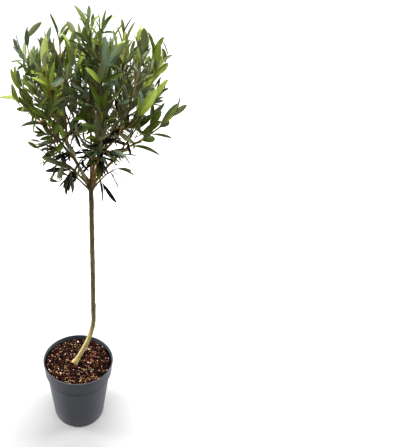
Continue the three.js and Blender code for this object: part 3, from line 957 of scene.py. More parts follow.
@dataclass(frozen=True)
class Leaf:
    """A leaf: its root, its way, its face's way, its side, its length, twig, pair and slimness."""

    root: Array
    axis: Array
    normal: Array
    side: Array
    length: float
    twig: int
    pair: int
    slim: float


@dataclass
class Twig:
    """One stem, shoot or twiglet, of order 0, 1 or 2, with its radius at the root.

    Each of its nodes is a share of its length, a spin, and whether shoots fork there.
    """

    path: Path
    radius: float
    order: int
    nodes: list[tuple[float, float, bool]] = field(default_factory=list)


@dataclass
class Mass:
    """A mass of foliage while it grows."""

    number: int
    bough: Bough
    stem: Path
    dice: Dice
    leaves: list[Leaf] = field(default_factory=list)
    twigs: list[Twig] = field(default_factory=list)
    grown: Rods = field(default_factory=Rods)


@dataclass(frozen=True)
class Bud:
    """A place that growth starts from: a twig's point, direction and radius, and a side of it."""

    point: Array
    direction: Array
    radius: float
    spin: float


@dataclass(frozen=True)
class LeafPlan:
    """A leaf that is to be set: how far it opens and hangs, its length and its slimness.

    Its twig is a number in the mass, and its pair is counted from the twig's tip.
    """

    bud: Bud
    angle: float
    length: float
    hang: float
    twig: int
    pair: int
    slim: float = 1.0


@dataclass(frozen=True)
class Room:
    """What growth in a mass keeps clear of.

    It is nearer its own stem than any other by the margin, and keeps its distances from the
    boughs' skin and from other growth.
    """

    mass: Mass
    margin: float
    from_boughs: float
    others: Rods
    from_others: float


@dataclass(frozen=True)
class Tries:
    """How many times a leaf is tried, and how each try turns, opens, varies and shortens it."""

    count: int
    shrink: float
    spin_slack: float
    spin_more: float
    angle_slack: float
    angle_more: float = 0
    shortest: float = 1
    variety: float = 0


@dataclass(frozen=True)
class Trunk:
    """The trunk: it leans out from its foot, comes upright by the bend and drifts to the fork."""

    foot: Spot = (-10.4, -9.1, 122)
    bend: Spot = (31.2, 14, 222)
    fork: Spot = (27.4, 14, 505)
    steps: int = 26
    foot_radius: float = 4.7
    top_radius: float = 4
    flare: float = 3.6
    flare_height: float = 6
    knob: float = 2.8
    knob_height: float = 8
    knob_below_fork: float = 6
    sunk_to: float = 127.5

    def path(self, steps: int) -> Path:
        """Works out the trunk's way.

        The lean is the sine of a quarter turn over the height from foot to bend, and the
        drift grows evenly from bend to fork. The place is foot + (bend - foot) lean +
        (fork - bend) drift, and each heading runs between the neighbours of its point.

        Args:
            steps: Number of even steps in height.

        Returns:
            The path.
        """
        foot, bend, fork = (np.array(place, float) for place in (self.foot, self.bend, self.fork))
        z = foot[2] + (fork[2] - foot[2]) * np.arange(steps + 1) / steps
        lean = np.sin(np.pi / 2 * reached(z, foot[2], bend[2]))[:, None]
        drift = reached(z, bend[2], fork[2])[:, None]
        points = foot + (bend - foot) * lean + (fork - bend) * drift
        points[:, 2] = z
        headings = unit(np.concatenate([points[1:], points[-1:]]) - np.concatenate([points[:1], points[:-1]]))
        headings[0] = (0, 0, 1)
        return Path(points, headings, fork[2] - foot[2])

    def radius(self, z: Array) -> Array:
        """Works out the radius: an even taper, a flare that dies away upwards, and the knob.

        Args:
            z: Heights.

        Returns:
            The radius at each height.
        """
        above = z - self.foot[2]
        share = above / (self.fork[2] - self.foot[2])
        taper = self.foot_radius + (self.top_radius - self.foot_radius) * share
        off = (z - self.fork[2] + self.knob_below_fork) / self.knob_height
        return taper + self.flare * np.exp(-above / self.flare_height) + self.knob * np.exp(-(off**2))


@dataclass(frozen=True)
class TwigRule:
    """How stems and shoots branch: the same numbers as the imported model's."""

    gap: float = 0.3
    head_spread: float = 3
    bough_steps: int = 5
    bough_taper: float = 0.72
    stem_steps: int = 4
    shoot_steps: int = 2
    taper: float = 0.6
    first_node: float = 11
    node_spacing: float = 17
    last_node_share: float = 0.9
    end_share: float = 0.99
    girth: float = 0.6
    length: float = 50
    shorter_up: float = 0.45
    least: float = 0.8
    variety: float = 0.4
    angle: float = 46
    turn: float = 12
    close_share: float = 0.3
    last_share: float = 0.68
    tries: int = 5
    shrink: float = 0.17
    spin_slack: float = 20
    spin_more: float = 15
    angle_slack: float = 10
    angle_less: float = 4
    upright_rise: float = 60
    upright_pull: float = 0.35
    margin: float = 4
    clearance: float = 1.6
    free_share: float = 0.2
    first_seed: int = 11
    seed_step: int = 7


@dataclass(frozen=True)
class LeafRule:
    """How leaves are set on a twig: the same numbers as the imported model's."""

    length: float = 48
    least: float = 0.84
    swell: float = 0.24
    swell_from: float = 0.2
    swell_over: float = 0.6
    aspect: float = 0.245
    thickness: float = 1.2
    widest: float = 0.46
    bow: float = 0.1
    sink: float = 0.4
    angle: float = 58
    angle_fall: float = 26
    roll: float = 30
    axil_drop: float = 2.2
    axil_angle: float = 74
    tip_angle: float = 20
    tip_size: float = 0.98
    tip_hang: float = 0.6
    tries: Tries = Tries(8, 0.06, 14, 24, 10, 8, 0.86, 0.28)
    margin: float = 2
    clearance: float = 1.1
    apart: float = 0.9
    free_share: float = 0.12


@dataclass(frozen=True)
class CrownSpace:
    """The space that all twigs and leaves stay in: round in plan and widest at its middle."""

    middle: Spot = (32, 8, 665)
    radius: float = 127
    height: float = 102
    depth: float = 300
    top_power: float = 3
    foot_power: float = 1.7
    stray_reach: float = 1.25

    def holds(self, points: Array, stray: bool) -> bool:
        """Tells whether all points lie inside the space.

        With u the share of the height above the middle and d the share of the depth below
        it, the space's radius is (1 - u^3)^(1/3) or 1 - d^1.7 of its widest.

        Args:
            points: Points shaped (points, 3).
            stray: Whether they belong to a stray spray, which may reach past the space.

        Returns:
            Whether all of them are inside.
        """
        off = points - np.array(self.middle)
        up, down = reached(off[:, 2], 0, self.height), reached(-off[:, 2], 0, self.depth)
        top = (1 - up**self.top_power) ** (1 / self.top_power)
        room = np.where(up > 0, top, 1 - down**self.foot_power)
        reach = self.radius * room * (self.stray_reach if stray else 1)
        return bool((np.hypot(off[:, 0], off[:, 1]) < reach).all())


@dataclass(frozen=True)
class FinerRule:
    """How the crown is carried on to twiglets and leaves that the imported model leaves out."""

    chance: float = 0.85
    limb_chance: float = 0.6
    limb_spacing: float = 10
    limb_start: float = 0.25
    limb_turn: float = 137.5
    tip_chance: float = 0.85
    tip_length: float = 0.6
    tip_angle: float = 8
    droop: float = 1.2
    least_droop: float = 0.5
    droop_from: float = 600
    droop_to: float = 505
    sag: float = 62
    head_free: float = 34
    least_kept: float = 0.4
    bare_height: float = 570
    full_height: float = 757
    bare_share: float = 0.32
    full_share: float = 2.03
    low_longer: float = 0.4
    low_slimmer: float = 0.22
    length: float = 28
    variety: float = 13
    steps: int = 2
    angle: float = 46
    angle_slack: float = 9
    spin_slack: float = 18
    turn: float = 10
    lift: float = 14
    girth: float = 0.8
    limb_girth: float = 0.62
    tip_girth: float = 0.7
    least_spacing: float = 10
    end_gap: float = 0.02
    leaf: float = 0.7
    slim: float = 0.9
    leaf_variety: float = 0.28
    leaf_angle: float = 50
    leaf_angle_fall: float = 26
    between: float = 0.5
    between_chance: float = 0.7
    between_spin: float = 45
    margin: float = -9
    limb_margin: float = -90
    clearance: float = 0.5
    apart: float = 0.12
    free_share: float = 0.3
    seed: int = 8293
    seed_step: int = 13
    tries: Tries = Tries(5, 0.07, 18, 22, 16)

    def lowness(self, height: float) -> float:
        """Tells how low a height is, from 0 where leaves stand to 1 where they hang."""
        return reached(height, self.droop_from, self.droop_to)

    def fullness(self, height: float) -> float:
        """Tells how readily finer twigs grow at a height: more so towards the crown's top."""
        share = reached(height, self.bare_height, self.full_height)
        return self.bare_share + (self.full_share - self.bare_share) * share


class Grower:
    """Grows the boughs, stems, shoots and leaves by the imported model's rule, then finer ones."""

    def __init__(self, trunk: Trunk) -> None:
        """Plans the boughs and the stems at their tips.

        Args:
            trunk: The trunk that the boughs leave.
        """
        self.twig, self.leaf, self.crown, self.finer = TwigRule(), LeafRule(), CrownSpace(), FinerRule()
        self.paths = {"trunk": trunk.path(trunk.steps)}
        self.hard, self.crowd = Rods(), Rods()
        way = self.paths["trunk"].points
        radii = trunk.radius(way[:, 2])
        self.hard.add(way[:-1], way[1:], np.maximum(radii[:-1], radii[1:]))
        self.masses = []
        for i, bough in enumerate(BOUGHS):
            root, _ = self.paths[bough.parent].at(bough.at)
            if bough.parent == "trunk":
                root = root + heading(bough.azimuth, 0) * self.twig.head_spread
            way = (bough.azimuth, bough.rise)
            path = Path.arc(root, way, bough.length, 0, bough.bend, self.twig.bough_steps)
            self.paths[bough.name] = path
            self.hard.add_path(path, bough.radius, self.twig.bough_taper)
            point, direction = path.at(1)
            spray = bough.spray
            start, way = point + direction * self.twig.gap, (spray.azimuth, spray.rise)
            stem = Path.arc(start, way, spray.length, 0, spray.bend, self.twig.stem_steps)
            stem.headings[0] = direction
            seed = self.twig.first_seed + self.twig.seed_step * i
            self.masses.append(Mass(i, bough, stem, Dice(seed)))
        self.stem_starts = np.concatenate([mass.stem.points[:-1] for mass in self.masses])
        self.stem_ends = np.concatenate([mass.stem.points[1:] for mass in self.masses])
        self.stem_owner = np.repeat(np.arange(len(self.masses)), self.twig.stem_steps)

    def has_room(self, room: Room, points: Array, starts: Array, ends: Array) -> bool:
        """Tells whether growth keeps to its space and its distances.

        Args:
            room: What it keeps clear of.
            points: Points that have to be in the crown and in the mass's own space.
            starts: Starts of the lines that have to keep their distances.
            ends: Ends of those lines.

        Returns:
            Whether there is room.
        """
        reach = self.stem_ends - self.stem_starts
        off = points[:, None] - self.stem_starts
        share = np.clip((off * reach).sum(-1) / (reach * reach).sum(-1), 0, 1)
        gaps = np.linalg.norm(off - share[..., None] * reach, axis=-1)
        own = self.stem_owner == room.mass.number
        nearer = gaps[:, ~own].min(axis=1) - gaps[:, own].min(axis=1)
        return (
            bool((nearer >= room.margin).all())
            and self.crown.holds(points, room.mass.bough.spray.stray)
            and self.hard.clear(starts, ends, room.from_boughs)
            and room.others.clear(starts, ends, room.from_others)
        )

    def path_has_room(self, room: Room, path: Path, free_share: float) -> bool:
        """Tells whether a path of two steps has room, but for its first share.

        Args:
            room: What it keeps clear of.
            path: The path.
            free_share: The share at its root that may come near its parent.

        Returns:
            Whether there is room.
        """
        ends = path.points[1:]
        return self.has_room(room, ends, np.array([path.at(free_share)[0], ends[0]]), ends)

    def set_leaf(self, room: Room, plan: LeafPlan, tries: Tries) -> None:
        """Tries to set a leaf, turning and shortening it until there is room for it.

        Args:
            room: What it keeps clear of.
            plan: The leaf as it is planned.
            tries: How it is tried.
        """
        bud, dice = plan.bud, room.mass.dice
        for attempt in range(tries.count):
            spin = bud.spin + dice.spread(tries.spin_slack + tries.spin_more * attempt)
            opened = plan.angle + dice.spread(tries.angle_slack + tries.angle_more * attempt)
            variety = tries.shortest + tries.variety * dice.roll() if tries.variety else 1
            length = plan.length * variety * (1 - tries.shrink * attempt)
            roll = dice.spread(self.leaf.roll)
            way = splay(bud.direction, spin, opened)
            leaf, rim, lines = self.lay_leaf(plan, way, length, roll)
            if self.has_room(room, rim, lines[:, 0], lines[:, 1]):
                room.mass.leaves.append(leaf)
                room.others.add(lines[:, 0], lines[:, 1], self.leaf.thickness / 2)
                return

    def lay_leaf(self, plan: LeafPlan, way: Array, length: float, roll: float
                 ) -> tuple[Leaf, Array, Array]:
        """Works out where one leaf lies.

        Args:
            plan: The leaf as it is planned.
            way: The way that it leaves the twig, before it hangs.
            length: Its length.
            roll: How far its blade is rolled about its own line.

        Returns:
            The leaf, the points of its outline, and its lines as an array of pairs.
        """
        rule, bud = self.leaf, plan.bud
        axis = unit(way + np.array([0, 0, -plan.hang]))
        face = bud.direction - axis * bud.direction.dot(axis)
        face = unit(face if np.linalg.norm(face) > TINY else sideways(axis, 90))
        edge = np.cross(axis, face)
        tilt, level = math.sin(math.radians(roll)), math.cos(math.radians(roll))
        normal, side = face * level + edge * tilt, edge * level - face * tilt
        root = bud.point - axis * rule.sink * bud.radius
        half = length * rule.aspect / 2
        middle = root + axis * rule.widest * length
        left, right = middle + side * half, middle - side * half
        tip = root + axis * length - normal * rule.bow * length
        near = root + axis * rule.free_share * length
        between = [(near + left) / 2, (near + right) / 2, (left + tip) / 2, (right + tip) / 2]
        lines = [[near, tip], [left, right], [near, left], [near, right], [left, tip], [right, tip]]
        leaf = Leaf(root, axis, normal, side, length, plan.twig, plan.pair, plan.slim)
        return leaf, np.array([root, left, right, tip, *between]), np.array(lines)

    def grow_shoot(self, mass: Mass, bud: Bud, share: float) -> None:
        """Tries to grow a side shoot, turning and shortening it until there is room for it.

        Args:
            mass: The mass that it belongs to.
            bud: The place that it starts from.
            share: The share of its stem's length that the place lies at.
        """
        rule, dice, spray = self.twig, mass.dice, mass.bough.spray
        room = Room(mass, rule.margin, rule.clearance, mass.grown, rule.clearance)
        for attempt in range(rule.tries):
            spin = bud.spin + dice.spread(rule.spin_slack + rule.spin_more * attempt)
            opened = rule.angle + dice.spread(rule.angle_slack) - rule.angle_less * attempt
            way = bearing(splay(bud.direction, spin, opened))
            variety = rule.least + rule.variety * dice.roll()
            length = rule.length * (1 - rule.shorter_up * share) * variety * (1 - rule.shrink * attempt)
            pull = rule.upright_pull * (rule.upright_rise - way[1]) if spray.bend > 0 else 0
            turn = dice.spread(rule.turn)
            path = Path.arc(bud.point, way, length, turn, spray.bend + pull, rule.shoot_steps)
            if self.path_has_room(room, path, rule.free_share):
                self.grow_twig(mass, path, bud.radius, 1)
                return

    def grow_twig(self, mass: Mass, path: Path, radius: float, order: int) -> None:
        """Grows a twig: pairs of leaves, side shoots in a stem's lower axils, a pair at its tip.

        Args:
            mass: The mass that it belongs to.
            path: Its path.
            radius: Its radius at its root.
            order: 0 for a stem, 1 for a shoot.
        """
        rule, leaf, hang = self.twig, self.leaf, mass.bough.spray.hang
        room = Room(mass, leaf.margin, leaf.clearance, mass.grown, leaf.apart)
        twig = Twig(path, radius, order)
        mass.twigs.append(twig)
        number = len(mass.twigs) - 1
        spin = mass.dice.roll() * 90
        pairs = max(1, math.floor((path.length - rule.first_node) / rule.node_spacing))
        for i in range(pairs):
            share = min(rule.last_node_share, (rule.first_node + i * rule.node_spacing) / path.length)
            point, direction = path.at(share)
            swell = math.sin(math.pi * (leaf.swell_from + leaf.swell_over * share))
            size = leaf.length * (leaf.least + leaf.swell * swell)
            open_axil = share < rule.last_share and (i % 2 == 0 or share < rule.close_share)
            forks = order == 0 and not mass.bough.spray.stray and open_axil
            girth = tapered(radius, rule.taper, share)
            angle = leaf.axil_angle if forks else leaf.angle - leaf.angle_fall * share
            axil = point - direction * leaf.axil_drop if forks else point
            spin += 90
            twig.nodes.append((share, spin, forks))
            for half in HALVES:
                if forks:
                    self.grow_shoot(mass, Bud(point, direction, girth * rule.girth, spin + half), share)
                bud = Bud(axil, direction, girth, spin + half)
                self.set_leaf(room, LeafPlan(bud, angle, size, hang, number, pairs - i), leaf.tries)
        point, direction = path.at(rule.end_share)
        for half in HALVES:
            bud = Bud(point, direction, radius * rule.taper, spin + 90 + half)
            size = leaf.length * leaf.tip_size
            plan = LeafPlan(bud, leaf.tip_angle, size, hang * leaf.tip_hang, number, 0)
            self.set_leaf(room, plan, leaf.tries)
        mass.grown.add_path(path, radius, rule.taper)

    def grow(self) -> None:
        """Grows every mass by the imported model's rule, and then the finer twigs of each."""
        for mass in self.masses:
            self.grow_twig(mass, mass.stem, mass.bough.radius * self.twig.bough_taper, 0)
            self.crowd.add(mass.grown.starts, mass.grown.ends, mass.grown.radii)
        coarse = sum(len(mass.leaves) for mass in self.masses)
        for mass in self.masses:
            mass.dice = Dice(self.finer.seed + self.finer.seed_step * mass.number)
            self.grow_finer(mass)
            self.grow_inner(mass)
            self.thin_out(mass)
        total = sum(len(mass.leaves) for mass in self.masses)
        LOG.info("leaves: %d by the rule, %d with the finer twigs", coarse, total)

    def set_fine_leaf(self, room: Room, bud: Bud, angle: float, twig: int, pair: int) -> None:
        """Tries to set a leaf of the finer rule, longer, slimmer and more hanging low down.

        Args:
            room: What it keeps clear of.
            bud: The place that it starts from.
            angle: How far it opens from its twig.
            twig: The number of its twig in the mass.
            pair: The number of its pair, counted from the twig's tip.
        """
        rule, dice = self.finer, room.mass.dice
        length = self.leaf.length * rule.leaf * (1 + dice.spread(rule.leaf_variety))
        low = rule.lowness(bud.point[2])
        hang = room.mass.bough.spray.hang + rule.droop * low * (rule.least_droop + dice.roll())
        longer, slim = length * (1 + rule.low_longer * low), rule.slim * (1 - rule.low_slimmer * low)
        self.set_leaf(room, LeafPlan(bud, angle, longer, hang, twig, pair, slim), rule.tries)

    def grow_twiglet(self, room: Room, bud: Bud, tip: bool = False) -> None:
        """Grows a twiglet if there is room for it, with pairs of leaves along it and at its tip.

        Args:
            room: What it keeps clear of.
            bud: The place that it starts from.
            tip: Whether it carries on its parent's tip, and so is shorter and opens less.
        """
        rule, mass, dice = self.finer, room.mass, room.mass.dice
        angle = rule.tip_angle if tip else rule.angle
        spin = bud.spin + dice.spread(rule.spin_slack)
        way = bearing(splay(bud.direction, spin, angle + dice.spread(rule.angle_slack)))
        length = (rule.length + dice.spread(rule.variety)) * (rule.tip_length if tip else 1)
        lift = rule.lift - rule.sag * rule.lowness(bud.point[2])
        path = Path.arc(bud.point, way, length, dice.spread(rule.turn), lift, rule.steps)
        if not self.path_has_room(room, path, rule.free_share):
            return
        mass.twigs.append(Twig(path, bud.radius, 2))
        number = len(mass.twigs) - 1
        spin = dice.roll() * 90
        pairs = max(1, round(length / rule.least_spacing))
        for i in range(pairs):
            share = (i + 1) / pairs - rule.end_gap
            point, direction = path.at(share)
            spin += 90
            for half in HALVES:
                place = Bud(point, direction, bud.radius * rule.tip_girth, spin + half)
                opened = rule.leaf_angle - rule.leaf_angle_fall * share
                self.set_fine_leaf(room, place, opened, number, pairs - 1 - i)
        self.crowd.add_path(path, bud.radius)

    def grow_finer(self, mass: Mass) -> None:
        """Grows twiglets at tips, in axils that bear no shoot and between pairs, or leaves there.

        Args:
            mass: The mass that they belong to.
        """
        rule, dice = self.finer, mass.dice
        room = Room(mass, rule.margin, rule.clearance, self.crowd, rule.apart)
        for number, twig in enumerate(list(mass.twigs)):
            path = twig.path
            full = mass.bough.fullness * rule.fullness(path.points[-1][2])
            if dice.roll() < rule.tip_chance * full:
                girth = twig.radius * self.twig.taper
                self.grow_twiglet(room, Bud(*path.at(1), girth, dice.roll() * 360), True)
            step = self.twig.node_spacing * rule.between / path.length
            for share, spin, forks in twig.nodes:
                point, direction = path.at(share)
                full = mass.bough.fullness * rule.fullness(point[2])
                girth = tapered(twig.radius, self.twig.taper, share)
                for half in HALVES:
                    if not forks and dice.roll() < rule.chance * full:
                        self.grow_twiglet(room, Bud(point, direction, girth * rule.girth, spin + half))
                between = path.at(min(1, share + step))
                for half in HALVES:
                    turned_by = spin + rule.between_spin + half
                    if dice.roll() < full - 1:
                        self.grow_twiglet(room, Bud(*between, girth * rule.girth, turned_by))
                    elif dice.roll() < rule.between_chance * full:
                        bud = Bud(*between, girth, turned_by)
                        self.set_fine_leaf(room, bud, rule.leaf_angle, number, 1)

    def grow_inner(self, mass: Mass) -> None:
        """Grows twiglets along the bough itself, which fill the inside of the crown.

        Args:
            mass: The mass that they belong to.
        """
        rule, dice, bough = self.finer, mass.dice, mass.bough
        room = Room(mass, rule.limb_margin, rule.clearance, self.crowd, rule.apart)
        count = int(bough.length * (1 - rule.limb_start) / rule.limb_spacing)
        girth = bough.radius * self.twig.bough_taper * rule.girth * rule.limb_girth
        spin = dice.roll() * 360
        for i in range(count):
            spin += rule.limb_turn
            share = rule.limb_start + (1 - rule.limb_start) * (i + 0.5) / count
            if dice.roll() <= rule.limb_chance * bough.fullness:
                self.grow_twiglet(room, Bud(*self.paths[bough.name].at(share), girth, spin))

    def thin_out(self, mass: Mass) -> None:
        """Drops some leaves of a mass that isn't full, and all that would hide the trunk's head.

        The leaves of the stem are kept, as the crown's reach rests on them.

        Args:
            mass: The mass.
        """
        kept = self.finer.least_kept + (1 - self.finer.least_kept) * min(1, mass.bough.fullness)
        head = self.paths["trunk"].points[-1]
        stays = [mass.dice.roll() < kept or leaf.twig == 0 for leaf in mass.leaves]
        mass.leaves = [
            leaf for leaf, stay in zip(mass.leaves, stays)
            if stay and np.linalg.norm(leaf.root - head) > self.finer.head_free
        ]


# Pieces of the plant


@dataclass
class WoodyFrame:
    """Trunk and boughs as one kind of relief: fibres, swellings at the nodes and old scars.

    Each scar is an azimuth, a height, how far it stands proud and its size.
    """

    trunk: Trunk
    trunk_rings: int = 330
    trunk_sides: int = 36
    trunk_seed: int = 31
    trunk_dome: float = 1.5
    bough_rings: int = 64
    bough_sides: int = 18
    bough_seed: int = 100
    bough_seed_step: int = 9
    bough_slim: float = 0.82
    relief: float = 0.16
    round_share: float = 4
    long_share: float = 0.22
    wave: float = 5.5
    fine_wave: float = 2.4
    fine_relief: float = 0.45
    full_relief_radius: float = 3
    least_relief: float = 0.35
    node_spacing: float = 24
    node_swell: float = 0.22
    node_length: float = 2.2
    node_shifts: int = 11
    collar: float = 0.4
    collar_length: float = 5
    scars: tuple[tuple[float, float, float, float], ...] = (
        (205, 133, 3.2, 3.4),
        (20, 252, 0.9, 2.6),
        (250, 331, 1.0, 2.8),
        (120, 404, 0.9, 2.4),
        (300, 457, 1.1, 2.6),
        (215, 497, 1.9, 5.5),
        (330, 501, 1.3, 4.5),
        (80, 499, 1.2, 4.5),
    )
    cut_scar: int = 0
    cut_share: float = 0.5
    crease: float = 60

    def skin(self, way: tuple[Array, Array], radii: Array, run: Array, sides: int,
             seed: int) -> Array:
        """Carries a ring with bark relief along a path.

        The radius at angle a and run s is the path's own radius plus the relief times waves
        of (cos a, sin a, s), drawn out along s, plus a swelling round each node.

        Args:
            way: The path's points and unit directions, each shaped (rings, 3).
            radii: The radius of each ring.
            run: The distance of each ring from the path's start.
            sides: Number of points on a ring.
            seed: Seed of the relief.

        Returns:
            The ring points, shaped (rings, sides, 3).
        """
        points, directions = way
        angle = circle(sides)
        flat = np.zeros((len(run), sides))
        ring = [np.cos(angle) * self.round_share + flat, np.sin(angle) * self.round_share + flat]
        place = np.stack([*ring, run[:, None] * self.long_share + flat], axis=-1)
        fine = waves(place, self.fine_wave, seed + 1) * self.relief * self.fine_relief
        rough = waves(place, self.wave, seed) * self.relief + fine
        near = (run + seed % self.node_shifts) % self.node_spacing - self.node_spacing / 2
        node = self.node_swell * np.exp(-((near / self.node_length) ** 2))
        fade = np.clip(radii / self.full_relief_radius, self.least_relief, 1)[:, None]
        reach = radii[:, None] + fade * (rough + node[:, None])
        return points[:, None] + spokes(directions[None], sides)[0] * reach[..., None]

    def build_trunk(self, finishes: Sequence[Material]) -> bpy.types.Object:
        """Builds the trunk with its scars, the cut face of the lowest one in its own finish.

        A scar stands out by its height times e to the minus of the squared distance from it
        on the bark, over its squared size.

        Args:
            finishes: The bark and the cut wood.

        Returns:
            The piece.
        """
        path = self.trunk.path(self.trunk_rings)
        shown = path.points[:, 2] > self.trunk.sunk_to
        points, directions = path.points[shown], path.headings[shown]
        radii = self.trunk.radius(points[:, 2])
        run = points[:, 2] - points[0, 2]
        rings = self.skin((points, directions), radii, run, self.trunk_sides, self.trunk_seed)
        outward = unit(rings - points[:, None])
        angle = np.degrees(np.arctan2(outward[..., 1], outward[..., 0]))
        worn = np.zeros((len(points) - 1, self.trunk_sides), int)
        for i, (azimuth, height, proud, size) in enumerate(self.scars):
            off = (angle - azimuth + 180) % 360 - 180
            wide = np.radians(off) * radii[:, None]
            bump = np.exp(-((wide**2 + (rings[..., 2] - height) ** 2) / size**2))
            rings = rings + outward * (bump * proud)[..., None]
            if i == self.cut_scar:
                worn[bump[:-1] > self.cut_share] = 1
        ends = np.stack([points[0], points[-1] + np.array([0, 0, self.trunk_dome])])[None]
        surface = tubes(rings[None], ends, worn[None])
        return make_piece("trunk_with_bark", surface, finishes, ["trunk"], self.crease)

    def build_boughs(self, grower: Grower, finish: Material) -> bpy.types.Object:
        """Builds all boughs, each with a collar at its root that dies away evenly in powers of e.

        Args:
            grower: What planned their paths.
            finish: Their bark.

        Returns:
            The piece.
        """
        parts = []
        for i, bough in enumerate(BOUGHS):
            way = grower.paths[bough.name].smooth(self.bough_rings)
            run = np.linspace(0, bough.length, self.bough_rings)
            radii = tapered(bough.radius, grower.twig.bough_taper, run / bough.length) * self.bough_slim
            radii = radii + self.collar * bough.radius * np.exp(-run / self.collar_length)
            seed = self.bough_seed + self.bough_seed_step * i
            rings = self.skin(way, radii, run, self.bough_sides, seed)
            parts.append(tubes(rings[None], way[0][None, [0, -1]]))
        nodes = [f"bough_{bough.name}" for bough in BOUGHS]
        return make_piece("boughs_with_bark", Surface.joined(parts), [finish], nodes, self.crease)


@dataclass
class Foliage:
    """The shapes of twigs and leaves. Each pair of numbers is the least and the greatest value."""

    stalk: float = 0.1
    stalk_share: float = 0.07
    swell_powers: Pair = (0.86, 1.22)
    blunt_power: float = 0.7
    aspect: float = 0.275
    stretch: Pair = (0.7, 1.1)
    fold: Pair = (0.0, 0.6)
    arch: Pair = (-0.03, 0.1)
    sickle: Pair = (-0.1, 0.1)
    twist: Pair = (-28, 28)
    slim: Pair = (0.84, 1.06)
    blade_rows: tuple[float, ...] = (0, 0.09, 0.24, 0.44, 0.65, 0.83, 0.95)
    blade_columns: tuple[float, ...] = (-1, -0.5, -0.07, 0.07, 0.5, 1, 0)
    column_finishes: tuple[int, ...] = (0, 0, 1, 0, 0, 2, 2)
    skin: float = 0.14
    belly: float = 0.4
    twig_sides: tuple[int, ...] = (8, 6, 5)
    twig_rings: tuple[int, ...] = (25, 11, 7)
    twig_slim: tuple[float, ...] = (0.82, 0.92, 1.0)
    overlap: float = 1.2
    node_length: float = 1.8
    node_swell: float = 0.16

    def blades(self, leaves: Sequence[Leaf], tones: Array, seed: int) -> Surface:
        """Builds many leaves at once.

        With t along the leaf and u across it, the point is root + axis (t L) + side (u w +
        sickle L (t - t^2)) + normal h. The half width w is the sine of pi times t past the
        stalk to one power, itself to another, and h is fold |u| w - bow L t^2 + arch L
        (t - t^2), less the belly on the underside. Side and normal turn about the axis by
        the leaf's twist times t.

        Args:
            leaves: The leaves.
            tones: The number of each leaf's tone.
            seed: Seed of the small differences between leaves.

        Returns:
            The surface, with three materials for each tone.
        """
        chance = np.random.default_rng(seed)

        def vary(limits: Pair) -> Array:
            """Draws a number between two limits for each leaf."""
            return chance.uniform(*limits, (len(leaves), 1, 1))

        def of_tone(key: str) -> Array:
            """Gives each leaf the number of that name from its tone's finish."""
            return np.array([getattr(finish, key) for finish in LEAF_FINISHES])[tones][:, None, None]

        keys = ("root", "axis", "normal", "side", "length", "slim")
        columns = [np.array([getattr(leaf, key) for leaf in leaves]) for key in keys]
        root, axis, normal, side, length, slim = (column[:, None, None] for column in columns)
        bow = LeafRule().bow
        stretch = vary(self.stretch)
        length = length * of_tone("size") * stretch
        fold, arch, sickle, twist = vary(self.fold), vary(self.arch), vary(self.sickle), vary(self.twist)
        slim = vary(self.slim) * (slim * of_tone("breadth"))
        t = np.array(self.blade_rows)[None, :, None]
        u = np.array(self.blade_columns)[None, None, :]
        below = np.zeros(len(self.blade_columns))
        below[-1] = 1
        aspect = self.aspect * slim / np.sqrt(stretch)
        past = reached(t, self.stalk_share, 1) ** vary(self.swell_powers)
        outline = self.stalk + (1 - self.stalk) * np.sin(math.pi * past) ** self.blunt_power
        half = length * aspect / 2 * outline
        lift = fold * np.abs(u) * half + length * (arch * (t - t**2) - bow * t**2)
        lift = lift + self.skin * (1 - np.abs(u)) * (1 - below) - self.belly * below
        shift = u * half + length * sickle * (t - t**2)
        turn = np.radians(twist) * t
        beside = side * np.cos(turn)[..., None] + normal * np.sin(turn)[..., None]
        above = normal * np.cos(turn)[..., None] - side * np.sin(turn)[..., None]
        rings = root + axis * (length * t)[..., None] + beside * shift[..., None] + above * lift[..., None]
        tip = root + axis * length[..., None] - above[:, -1:] * (length * bow)[..., None]
        ends = np.concatenate([root[:, 0], tip[:, 0]], axis=1)
        return tubes(rings, ends, tones[:, None, None] * 3 + np.array(self.column_finishes))

    def rods(self, twigs: Sequence[Twig], order: int, finish: Array, taper: float) -> Surface:
        """Builds many twigs of one order at once.

        The radius tapers evenly, and swells round each node at distance d along the twig by a
        share of e to the minus (d / node length) squared.

        Args:
            twigs: The twigs.
            order: 0 for stems, 1 for shoots, 2 for twiglets.
            finish: The material number of each twig.
            taper: The radius at the tip as a share of that at the root.

        Returns:
            The surface.
        """
        rings, sides = self.twig_rings[order], self.twig_sides[order]
        ways = [twig.path.smooth(rings) for twig in twigs]
        points, directions = (np.array([way[i] for way in ways]) for i in (0, 1))
        share = np.linspace(0, 1, rings)
        radii = np.array([twig.radius for twig in twigs])[:, None]
        radii = tapered(radii, taper, share) * self.twig_slim[order]
        swell = np.zeros_like(radii)
        for i, twig in enumerate(twigs):
            for place, _, _ in twig.nodes:
                off = (share - place) * twig.path.length / self.node_length
                swell[i] += np.exp(-(off**2))
        radii = radii * (1 + self.node_swell * swell)
        points[:, 0] -= directions[:, 0] * self.overlap
        skin = points[:, :, None] + spokes(directions, sides) * radii[:, :, None, None]
        return tubes(skin, points[:, [0, -1]], finish[:, None, None])


